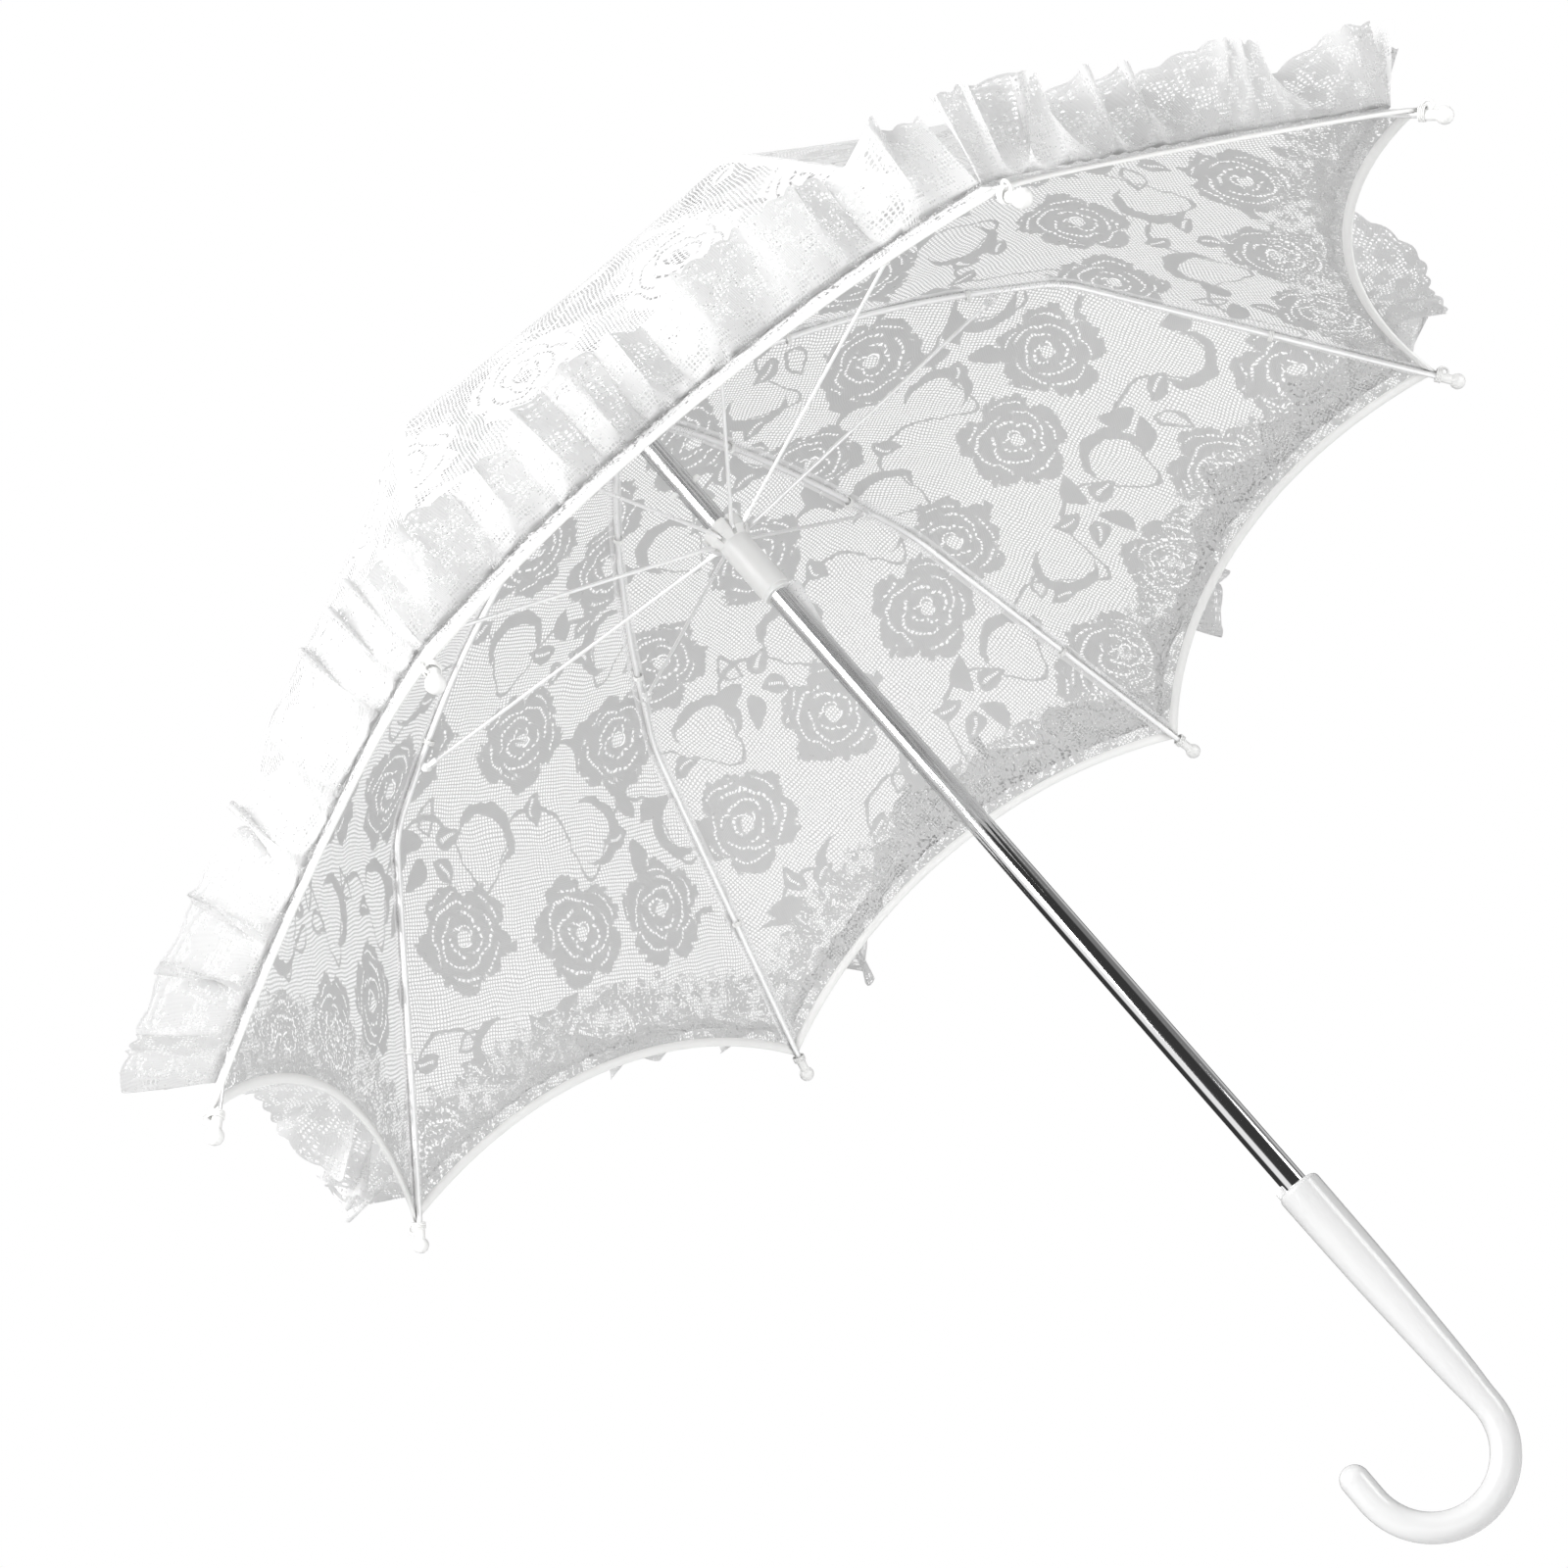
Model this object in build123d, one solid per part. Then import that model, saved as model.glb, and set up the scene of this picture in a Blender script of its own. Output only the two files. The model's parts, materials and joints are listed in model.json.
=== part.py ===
from build123d import *
import os
from math import atan2, cos, degrees, hypot, radians, sin, tan

# Lace parasol, open, standing as it is carried: shaft along +Z, canopy above.
# Origin: the middle of the grip, on the shaft's axis. The hook of the handle points to -X,
# and the button of the spring catch to +X. All lengths are in millimetres, angles in degrees.

# Driving dimensions of the frame
RIBS = 8
RIM_RADIUS = 320.0           # axis to the centre of a tip ball, open
RIM_Z = 300.0                # height of the tip balls, open
CROWN_Z = 487.0              # height of the rib pivots
PIVOT_RADIUS = 8.6           # of the rib pivots, and of the stretcher ends at the runner
JOINT_RADIUS = 176.0         # where a stretcher meets its rib, open
JOINT_Z = 452.0
RIB_TURN = 24.0              # how far the inner rib curves between crown and joint
BEND_PAST_JOINT = 33.0       # straight rib from the joint to its bend
LUG_DEPTH = 4.0              # joint rivet below the axis of the rib wire
PIN_CLEAR = 0.05             # around a rivet or ring wire that turns in a hole

# Wires and their ends
RIB_WIRE = 1.3               # radius
STRETCHER_WIRE = 0.8         # radius
TONGUE = 1.2                 # thickness of a flattened wire end
EYE_RADIUS = 1.9
EYE_HOLE = 0.65
TONGUE_LENGTH = 5.0
STRETCHER_EYE = 1.3          # radius, small enough to pass the runner's body
STRETCHER_HOLE = 0.5
EAR_THICKNESS = 0.8          # of the stretcher's fork
EAR_GAP = 1.5
RIVET_RADIUS = 0.6
FORK_START, FORK_END = 2.7, 6.5        # solid neck of the fork, from its rivet
FORK_HEIGHT = 2.2
RIVET_HEAD = 1.2             # radius
RIVET_HEAD_HEIGHT = 0.5
BEND_EYE = 1.6               # radius of the knuckle at the rib's bend
KNUCKLE_OFFSET = TONGUE / 2 + 0.05      # sideways, of each half of the knuckle
KNUCKLE_CLEAR = 0.4          # from the knuckle's eye to the wire's end
BALL_RADIUS = 3.5
SLEEVE_RADIUS = 2.1
SLEEVE_LENGTH = 9.0
EYELET_RADIUS = 2.2          # centre line of the sewing eyelet
EYELET_WIRE = 0.6
EYELET_SETBACK = 7.0         # from the ball, along the sleeve
EYELET_RISE = SLEEVE_RADIUS + 1.4
SOCKET_END = 0.9             # the wire's socket stops this far from the ball's centre

# Shaft, crown and runner
TUBE_RADIUS = 5.0
TUBE_WALL = 0.8
TUBE_BOTTOM = -5.0
NOTCH_RADIUS = 10.8
NOTCH_UNDER, NOTCH_OVER = 2.5, 3.5      # below and above the pivots
SLOT_WIDTH = 1.7
SLOT_CLEAR = 0.3             # between a rib eye and the end of its slot
CROWN_WIRE = 0.5
RUNNER_PIVOT_RISE = 33.4     # runner's lower edge to its stretcher ends
RUNNER_TOP_RISE = 39.5
RUNNER_RADIUS = 6.9
RUNNER_BORE = 5.06
FLANGE_RADIUS = 9.6
FLANGE_HEIGHT = 6.5
FLANGE_CONE = 3.0            # height of the cone under the flange
FLANGE_SLOT = 2.0
LIP_HEIGHT = 1.6             # of the runner's narrow lower lip
STOP_PIN_Z = 441.0
STOP_PIN_RADIUS = 1.1
STOP_PIN_LENGTH = 15.0
CATCH_ANCHOR_Z = 278.0
CATCH_DROP = 27.0            # height of the catch's triangular button
CATCH_REACH = 5.0            # how far it stands out of the tube
CATCH_THICKNESS = 0.8
CATCH_CLEAR = 0.3            # between the button and the runner it holds up
CATCH_SLOT_CLEAR = 0.3       # each side of the button
SLOT_OVERRUN = 3.0           # of the tube's slot, past the button
LEAF_WIDTH, LEAF_THICKNESS, LEAF_OFFSET = 3.0, 0.6, 3.2
LEAF_TAIL = 4.0              # leaf spring below its rivet
LEAF_HOLE = 1.0              # radius
LEAF_RIVET = 0.75
LEAF_RIVET_HEAD = 1.3

# Handle
HANDLE_TOP = 53.0
HANDLE_TOP_RADIUS = 8.85
HOOK_WIRE = 5.8              # radius of the hook's section
HOOK_RADIUS = 27.5           # of its centre line
HOOK_Z = -52.0               # where the straight grip ends and the hook begins
HOOK_END = 9.0               # straight run at the free end
GRIP_OUTLINE = [(8.35, 10), (7.4, -20), (6.4, -42)]    # (r, z) between the top and the hook
GRIP_TOP_ROUND = 2.0
KEY_SIZE = (3.4, 3.0, 3.6)
KEY_ROUND = 1.6

# Top
ROSETTE_RADIUS = 24.0
CAP_RADIUS = 12.0
SPIKE_RADIUS = 3.0
SPIKE_LENGTH = 16.0
CAP_CONE_TOP, CAP_CONE_RADIUS = 12.0, 6.0
PLUG_LENGTH = 12.0
TOP_GAP = 0.1                # between the crown, the rosette and the cap

# Canopy
CLOTH = 0.6                  # thickness
CLOTH_CLEAR = 0.4            # between the rib wire and the cloth
CLOTH_START = 11.8           # inner edge, from the axis
SEAM_GAP = 0.2               # half of the gap between neighbouring gores
HEM_BEFORE_TIP = 11.0        # along the rib
HEM_SAG = 30.0               # how far the hem rises between two ribs
FRILL_SETBACK = 8.0          # from the hem to the frill's seam
FRILL_WIDTH = 34.0
FRILL_FLARE = 50.0           # between the frill and the cloth
FRILL_THICKNESS = 1.2
BEND_GAP = 0.5               # from the middle of the bend to the edge of each part of a gore
GORE_SPANS = 8               # straight stretches of cloth from crown to joint

STEP = 360 / RIBS
HALF = STEP / 2
SHORTER = cos(radians(HALF))            # a gore's middle against its ribs
CLOTH_LIFT = RIB_WIRE + CLOTH_CLEAR     # from the wire's centre line to the cloth


def direction(angle):
    """Unit (r, z) vector at an angle above the horizontal."""
    return Vector(cos(radians(angle)), sin(radians(angle)))


def at(r, z, y=0.0):
    """A point of the X-Z plane."""
    return Vector(r, y, z)


# Points of one rib, as (r, z)
crown_point = Vector(PIVOT_RADIUS, CROWN_Z)
wire_point = Vector(JOINT_RADIUS, JOINT_Z)
inner_chord = wire_point - crown_point
chord_angle = degrees(atan2(inner_chord.Y, inner_chord.X))
start_slope = chord_angle + RIB_TURN / 2
end_slope = chord_angle - RIB_TURN / 2
bend_point = wire_point + direction(end_slope) * BEND_PAST_JOINT
tip_point = Vector(RIM_RADIUS, RIM_Z)
outer_chord = tip_point - bend_point
outer_length = hypot(outer_chord.X, outer_chord.Y)
outer_slope = degrees(atan2(outer_chord.Y, outer_chord.X))
rivet_point = wire_point + direction(end_slope - 90) * LUG_DEPTH
RUNNER_PIVOT_Z = CROWN_Z - 2 * (CROWN_Z - rivet_point.Y)    # equal arms above and below the joint
RUNNER_BOTTOM = RUNNER_PIVOT_Z - RUNNER_PIVOT_RISE


def rod(a, b, radius):
    """A round wire between two points."""
    run = b - a
    return extrude(Plane(origin=a, z_dir=run) * Circle(radius), run.length)


def disc_y(centre, radius, thickness, y=0.0):
    """A disc whose axis lies along Y."""
    return Pos(centre.X, y, centre.Y) * Rot(X=90) * Cylinder(radius, thickness)


def bar(a, b, height, thickness, y=0.0):
    """A flat bar in the X-Z plane, from (r, z) point a to b."""
    run = b - a
    middle = (a + b) / 2
    turn = -degrees(atan2(run.Y, run.X))
    return Pos(middle.X, y, middle.Y) * Rot(Y=turn) * Box(hypot(run.X, run.Y), thickness, height)


def around(shape, index, offset=-HALF):
    """The shape, turned from the X-Z plane to rib or gore number index."""
    return Rot(Z=STEP * index + offset) * shape


def rib_curve(share):
    """Point and slope of the inner rib wire, from 0 at the crown to 1 at the joint."""
    radius = hypot(inner_chord.X, inner_chord.Y) / 2 / sin(radians(RIB_TURN / 2))
    slope = start_slope - RIB_TURN * share
    centre = crown_point + direction(start_slope - 90) * radius
    return centre + direction(slope + 90) * radius, slope


def rib_inner():
    """Crown eye, tongue, curved wire, joint lug and half of the knuckle at the bend."""
    first, first_slope = rib_curve(TONGUE_LENGTH / hypot(inner_chord.X, inner_chord.Y))
    middle, _ = rib_curve(0.5)
    wire_end = bend_point - direction(end_slope) * (BEND_EYE + KNUCKLE_CLEAR)
    path = Wire([
        ThreePointArc(at(first.X, first.Y), at(middle.X, middle.Y), at(wire_point.X, wire_point.Y)),
        Line(at(wire_point.X, wire_point.Y), at(wire_end.X, wire_end.Y)),
    ])
    section = Plane(origin=path @ 0, z_dir=path % 0) * Circle(RIB_WIRE)
    wire = sweep(section, path)
    tongue = bar(crown_point, first + direction(first_slope) * 2, 2 * RIB_WIRE, TONGUE)
    eye = disc_y(crown_point, EYE_RADIUS, TONGUE)
    lug_bar = bar(wire_point, rivet_point, 2 * EYE_RADIUS, TONGUE)
    lug = disc_y(rivet_point, EYE_RADIUS, TONGUE) + lug_bar
    knuckle = disc_y(bend_point, BEND_EYE, TONGUE, -KNUCKLE_OFFSET)
    neck = wire_end - direction(end_slope)
    knuckle += bar(neck, bend_point, 2 * RIB_WIRE - 0.4, TONGUE, -KNUCKLE_OFFSET)
    rib = wire + tongue + eye + lug + knuckle
    rib -= disc_y(crown_point, EYE_HOLE, 4 * TONGUE)
    rib -= disc_y(rivet_point, RIVET_RADIUS + PIN_CLEAR, 4 * TONGUE)
    return rib


def rib_outer():
    """The other half of the knuckle, and the straight wire out to the tip ball."""
    along = direction(outer_slope)
    wire_start = bend_point + along * (BEND_EYE + KNUCKLE_CLEAR)
    wire_end = tip_point - along * 1.0
    wire = rod(at(wire_start.X, wire_start.Y), at(wire_end.X, wire_end.Y), RIB_WIRE)
    knuckle = disc_y(bend_point, BEND_EYE, TONGUE, KNUCKLE_OFFSET)
    knuckle += bar(bend_point, wire_start + along, 2 * RIB_WIRE - 0.4, TONGUE, KNUCKLE_OFFSET)
    return wire + knuckle


def rib_tip():
    """Tip ball with its sleeve over the wire's end, and the eyelet that the cloth is sewn to."""
    along = direction(outer_slope)
    sleeve_start = tip_point - along * SLEEVE_LENGTH
    ball = Pos(at(tip_point.X, tip_point.Y)) * Sphere(BALL_RADIUS)
    tip = ball + rod(at(sleeve_start.X, sleeve_start.Y), at(tip_point.X, tip_point.Y), SLEEVE_RADIUS)
    eyelet = tip_point - along * EYELET_SETBACK + direction(outer_slope + 90) * EYELET_RISE
    tip += Pos(at(eyelet.X, eyelet.Y)) * Rot(X=90) * Torus(EYELET_RADIUS, EYELET_WIRE)
    socket_end = tip_point - along * SOCKET_END
    mouth = tip_point - along * (SLEEVE_LENGTH + 1)
    return tip - rod(at(mouth.X, mouth.Y), at(socket_end.X, socket_end.Y), RIB_WIRE + 0.02)


def stretcher():
    """Fork at the rib, wire, and the eye that sits in the runner. The rivet is a second solid."""
    runner_end = Vector(PIVOT_RADIUS, RUNNER_PIVOT_Z)
    inward = (runner_end - rivet_point).normalized()
    bridge_end = rivet_point + inward * FORK_END
    width = EAR_GAP + 2 * EAR_THICKNESS
    shape = bar(rivet_point + inward * FORK_START, bridge_end, FORK_HEIGHT, width)
    for side in (-1, 1):
        ear_y = side * (EAR_GAP + EAR_THICKNESS) / 2
        shape += disc_y(rivet_point, EYE_RADIUS - 0.1, EAR_THICKNESS, ear_y)
        shape += bar(rivet_point, bridge_end - inward * 2, FORK_HEIGHT, EAR_THICKNESS, ear_y)
    eye_neck = runner_end - inward * 4
    shape += rod(at(bridge_end.X - inward.X, bridge_end.Y - inward.Y), at(eye_neck.X, eye_neck.Y),
                 STRETCHER_WIRE)
    shape += bar(eye_neck - inward * 1.5, runner_end, 2 * STRETCHER_WIRE, TONGUE)
    shape += disc_y(runner_end, STRETCHER_EYE, TONGUE)
    shape -= disc_y(runner_end, STRETCHER_HOLE, 4 * TONGUE)
    shape -= disc_y(rivet_point, RIVET_RADIUS, 2 * width)
    rivet = disc_y(rivet_point, RIVET_RADIUS, width)
    for side in (-1, 1):
        head_y = side * (width + RIVET_HEAD_HEIGHT) / 2
        rivet += disc_y(rivet_point, RIVET_HEAD, RIVET_HEAD_HEIGHT, head_y)
    return Compound([shape.solid(), rivet.solid()])


def shaft_tube():
    """Slotted tube from inside the handle up to the crown."""
    top = CROWN_Z + NOTCH_OVER
    tube = Pos(0, 0, (top + TUBE_BOTTOM) / 2) * (
        Cylinder(TUBE_RADIUS, top - TUBE_BOTTOM) - Cylinder(TUBE_RADIUS - TUBE_WALL, 2 * top))
    slot_height = CATCH_DROP + 2 * SLOT_OVERRUN
    slot = Box(2 * TUBE_RADIUS, CATCH_THICKNESS + 2 * CATCH_SLOT_CLEAR, slot_height)
    tube -= Pos(TUBE_RADIUS, 0, RUNNER_BOTTOM - CATCH_DROP / 2) * slot
    tube -= Pos(0, 0, STOP_PIN_Z) * Rot(Y=90) * Cylinder(STOP_PIN_RADIUS, 4 * TUBE_RADIUS)
    tube -= Pos(TUBE_RADIUS, 0, CATCH_ANCHOR_Z) * Rot(Y=90) * Cylinder(LEAF_RIVET, 4 * TUBE_WALL)
    return tube


def stop_pin():
    """Cross pin that keeps the runner below the crown."""
    pin = Pos(0, 0, STOP_PIN_Z) * Rot(Y=90) * Cylinder(STOP_PIN_RADIUS, STOP_PIN_LENGTH)
    return fillet(pin.edges(), 0.4)


def crown_notch():
    """Slotted ring, fixed on the tube, that the rib eyes sit in."""
    height = NOTCH_UNDER + NOTCH_OVER
    middle = CROWN_Z + (NOTCH_OVER - NOTCH_UNDER) / 2
    ring = Pos(0, 0, middle) * (Cylinder(NOTCH_RADIUS, height) - Cylinder(TUBE_RADIUS, 2 * height))
    slot_start = PIVOT_RADIUS - EYE_RADIUS - SLOT_CLEAR
    for index in range(1, RIBS + 1):
        slot = Pos(slot_start + NOTCH_RADIUS / 2, 0, middle) * Box(NOTCH_RADIUS, SLOT_WIDTH, 2 * height)
        ring -= around(slot, index)
    return ring - Pos(0, 0, CROWN_Z) * Torus(PIVOT_RADIUS, CROWN_WIRE + PIN_CLEAR)


def crown_ring_wire():
    """The wire ring through all the rib eyes."""
    return Pos(0, 0, CROWN_Z) * Torus(PIVOT_RADIUS, CROWN_WIRE)


def crown_rosette():
    """Small lace disc that covers the middle of the canopy."""
    return Pos(0, 0, CROWN_Z + NOTCH_OVER + TOP_GAP + CLOTH / 2) * (
        Cylinder(ROSETTE_RADIUS, CLOTH) - Cylinder(TUBE_RADIUS, 2 * CLOTH))


def ferrule():
    """Cap over the crown, its plug in the tube, and the short spike."""
    spike_top = CAP_CONE_TOP + SPIKE_LENGTH
    outline = [
        (0, 0), (CAP_RADIUS, 0), (CAP_RADIUS, 1.2), (CAP_CONE_RADIUS + 2.5, 3.5), (CAP_CONE_RADIUS, 4.5),
        (SPIKE_RADIUS, CAP_CONE_TOP), (SPIKE_RADIUS, spike_top), (0, spike_top),
    ]
    cap = revolve(make_face(Polyline([at(r, z) for r, z in outline], close=True)), Axis.Z)
    cap += Pos(0, 0, spike_top) * Sphere(SPIKE_RADIUS)
    plug = Cylinder(TUBE_RADIUS - TUBE_WALL, PLUG_LENGTH, align=(Align.CENTER, Align.CENTER, Align.MAX))
    return Pos(0, 0, CROWN_Z + NOTCH_OVER + CLOTH + 2 * TOP_GAP) * (cap + plug)


def runner():
    """Sliding sleeve with a slotted flange for the stretcher ends."""
    flange_low = RUNNER_TOP_RISE - FLANGE_HEIGHT
    outline = [
        (RUNNER_BORE, 0), (RUNNER_RADIUS - 0.5, 0), (RUNNER_RADIUS - 0.5, LIP_HEIGHT),
        (RUNNER_RADIUS - 0.1, LIP_HEIGHT + 0.4), (RUNNER_RADIUS, flange_low - FLANGE_CONE),
        (FLANGE_RADIUS, flange_low), (FLANGE_RADIUS, RUNNER_TOP_RISE - 0.8),
        (FLANGE_RADIUS - 0.8, RUNNER_TOP_RISE), (RUNNER_BORE, RUNNER_TOP_RISE),
    ]
    body = revolve(make_face(Polyline([at(r, z) for r, z in outline], close=True)), Axis.Z)
    slot_start = PIVOT_RADIUS - STRETCHER_EYE - 0.2
    for index in range(1, RIBS + 1):
        slot = Pos(slot_start + FLANGE_RADIUS / 2, 0, RUNNER_TOP_RISE) * Box(
            FLANGE_RADIUS, FLANGE_SLOT, 4 * FLANGE_HEIGHT)
        body -= around(slot, index)
    return Pos(0, 0, RUNNER_BOTTOM) * body


def spring_catch():
    """Leaf spring inside the tube, with the triangular button that holds the runner up."""
    top = RUNNER_BOTTOM - CATCH_CLEAR
    leaf_height = top - (CATCH_ANCHOR_Z - LEAF_TAIL)
    leaf = Pos(LEAF_OFFSET, 0, top - leaf_height / 2) * Box(LEAF_THICKNESS, LEAF_WIDTH, leaf_height)
    reach = TUBE_RADIUS + CATCH_REACH
    outline = [(LEAF_OFFSET, top), (reach - 0.8, top), (reach, top - 1.2), (TUBE_RADIUS, top - CATCH_DROP),
               (LEAF_OFFSET, top - CATCH_DROP)]
    button = extrude(make_face(Polyline([at(r, z) for r, z in outline], close=True)),
                     CATCH_THICKNESS / 2, both=True)
    hole = Pos(LEAF_OFFSET, 0, CATCH_ANCHOR_Z) * Rot(Y=90) * Cylinder(LEAF_HOLE, 4)
    return leaf + button - hole


def catch_rivet():
    """Rivet that holds the foot of the leaf spring, flush outside so that the runner can pass."""
    start = LEAF_OFFSET - LEAF_THICKNESS / 2 - RIVET_HEAD_HEIGHT - 0.1
    place = Pos(start, 0, CATCH_ANCHOR_Z) * Rot(Y=90)
    to_outside = (Align.CENTER, Align.CENTER, Align.MIN)
    shank = place * Cylinder(LEAF_RIVET, TUBE_RADIUS, align=to_outside)
    shank &= Cylinder(TUBE_RADIUS - 0.02, 2 * CROWN_Z)
    return shank + place * Cylinder(LEAF_RIVET_HEAD, RIVET_HEAD_HEIGHT, align=to_outside)


def handle():
    """Tapered grip and hook in one moulding, bored for the tube."""
    top, neck = at(HANDLE_TOP_RADIUS, HANDLE_TOP), at(HOOK_WIRE, HOOK_Z)
    taper = Spline([top] + [at(r, z) for r, z in GRIP_OUTLINE] + [neck],
                   tangents=[Vector(-0.01, 0, -1), Vector(0, 0, -1)])
    half = make_face([taper, Polyline(neck, at(0, HOOK_Z), at(0, HANDLE_TOP), top)])
    grip = revolve(half, Axis.Z)
    grip = fillet(grip.faces().sort_by(Axis.Z)[-1].edges(), GRIP_TOP_ROUND)
    far = -2 * HOOK_RADIUS
    bend = ThreePointArc(at(0, HOOK_Z), at(-HOOK_RADIUS, HOOK_Z - HOOK_RADIUS), at(far, HOOK_Z))
    rise = Line(at(far, HOOK_Z), at(far, HOOK_Z + HOOK_END))
    section = Plane(origin=at(0, HOOK_Z), z_dir=Vector(0, 0, -1)) * Circle(HOOK_WIRE)
    hook = sweep(section, Wire([bend, rise]))
    end = Pos(far, 0, HOOK_Z + HOOK_END) * Sphere(HOOK_WIRE)
    bore = Cylinder(TUBE_RADIUS, 2 * HANDLE_TOP, align=(Align.CENTER, Align.CENTER, Align.MIN))
    return grip + hook + end - Pos(0, 0, TUBE_BOTTOM) * bore


def shaft_key():
    """Small clear tab that keys the tube to the top of the handle."""
    x, y, z = KEY_SIZE
    tab = Box(x, y, z, align=(Align.MAX, Align.CENTER, Align.MIN))
    tab = fillet(tab.edges().filter_by(Axis.Y).sort_by(Axis.X)[:2].sort_by(Axis.Z)[-1:], KEY_ROUND)
    return Pos(-TUBE_RADIUS + 0.3, 0, HANDLE_TOP) * tab - Cylinder(TUBE_RADIUS, 4 * HANDLE_TOP)


def gore_wedge():
    """The sector between two ribs, around the middle of a gore."""
    reach = 2 * RIM_RADIUS
    back = SEAM_GAP / sin(radians(HALF))
    corner = reach * tan(radians(HALF))
    outline = Polyline((back, 0), (back + reach, corner), (back + reach, -corner), close=True)
    return Pos(0, 0, RIM_Z - 100) * extrude(make_face(outline), 400)


def middle_slope(slope):
    """A rib's slope, as it is in the middle of a gore."""
    return degrees(atan2(sin(radians(slope)), cos(radians(slope)) * SHORTER))


def gore_line():
    """(x, z) points of the cloth's inner face in the middle of a gore, from crown to bend."""
    points = []
    for step in range(GORE_SPANS + 1):
        point, slope = rib_curve(step / GORE_SPANS)
        points.append(Vector(point.X * SHORTER, point.Y) + direction(middle_slope(slope) + 90) * CLOTH_LIFT)
    return points


def canopy_inner():
    """Upper part of a gore: straight across from rib to rib, curved from crown to bend."""
    lower = gore_line()
    flat = middle_slope(end_slope)
    corner = Vector(bend_point.X * SHORTER, bend_point.Y) + direction(flat + 90) * CLOTH_LIFT
    last = corner - direction(flat) * BEND_GAP
    to_start = (CLOTH_START - lower[0].X) / (lower[1].X - lower[0].X)
    first = lower[0] + (lower[1] - lower[0]) * to_start
    lower = [first] + lower[1:] + [last]
    rise = direction(90) * CLOTH
    upper = [p + direction(flat + 90) * CLOTH if p is last else p + rise for p in lower]
    outline = [at(p.X, p.Y) for p in lower + upper[::-1]]
    strip = extrude(make_face(Polyline(outline, close=True)), RIM_RADIUS, both=True)
    return strip & gore_wedge()


def hem_plane():
    """Plane of the lower part of a gore: X down the cloth, Z outwards, origin at the bend."""
    run = Vector(outer_chord.X * SHORTER, outer_chord.Y)
    slope = degrees(atan2(run.Y, run.X))
    down, out = direction(slope), direction(slope + 90)
    start = Vector(bend_point.X * SHORTER, bend_point.Y) + out * CLOTH_LIFT
    plane = Plane(origin=at(start.X, start.Y), x_dir=at(down.X, down.Y), z_dir=at(out.X, out.Y))
    return plane, hypot(run.X, run.Y)


def canopy_outer():
    """Lower part of a gore, with its scalloped hem and its stretch of the lace frill."""
    plane, fall = hem_plane()
    reach = fall * (1 - HEM_BEFORE_TIP / outer_length)
    hem_half = (bend_point.X + outer_chord.X * reach / fall) * sin(radians(HALF))
    hem_radius = (hem_half ** 2 + HEM_SAG ** 2) / (2 * HEM_SAG)
    hem_centre = reach + hem_radius - HEM_SAG
    flat = Pos((reach + BEND_GAP) / 2, 0) * Rectangle(reach - BEND_GAP, 2 * RIM_RADIUS)
    flat -= Pos(hem_centre, 0) * Circle(hem_radius)
    cloth = extrude(plane * flat, CLOTH)
    seam = hem_radius + FRILL_SETBACK
    band = Circle(seam + FRILL_THICKNESS) - Circle(seam)
    band = Pos(hem_centre, 0) * band & Pos(reach / 2, 0) * Rectangle(reach, 2 * RIM_RADIUS)
    flare = plane.x_dir * cos(radians(FRILL_FLARE)) + plane.z_dir * sin(radians(FRILL_FLARE))
    frill = extrude(plane * band, FRILL_WIDTH, dir=flare)
    return (cloth + frill) & gore_wedge()


def write(name, shape):
    """One STEP file for one named piece."""
    shape.label = name
    export_step(shape, f"parts/{name}.step")


def main():
    os.makedirs("parts", exist_ok=True)
    single = {
        "shaft_tube": shaft_tube, "handle": handle, "shaft_key": shaft_key, "crown_notch": crown_notch,
        "crown_ring_wire": crown_ring_wire, "crown_rosette": crown_rosette, "ferrule": ferrule,
        "stop_pin": stop_pin, "runner": runner, "spring_catch": spring_catch, "catch_rivet": catch_rivet,
    }
    for name, make in single.items():
        write(name, make())
    on_ribs = {
        "rib_inner": rib_inner(), "rib_outer": rib_outer(), "rib_tip": rib_tip(), "stretcher": stretcher(),
    }
    on_gores = {"canopy_inner": canopy_inner(), "canopy_outer": canopy_outer()}
    for index in range(1, RIBS + 1):
        for name, shape in on_ribs.items():
            write(f"{name}_{index}", around(shape, index))
        for name, shape in on_gores.items():
            write(f"{name}_{index}", around(shape, index, 0))


main()
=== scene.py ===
import json
from math import atan2, cos, degrees, hypot, pi, radians, sin, tan

import bpy
import numpy as np
from mathutils import Matrix, Vector


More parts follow.
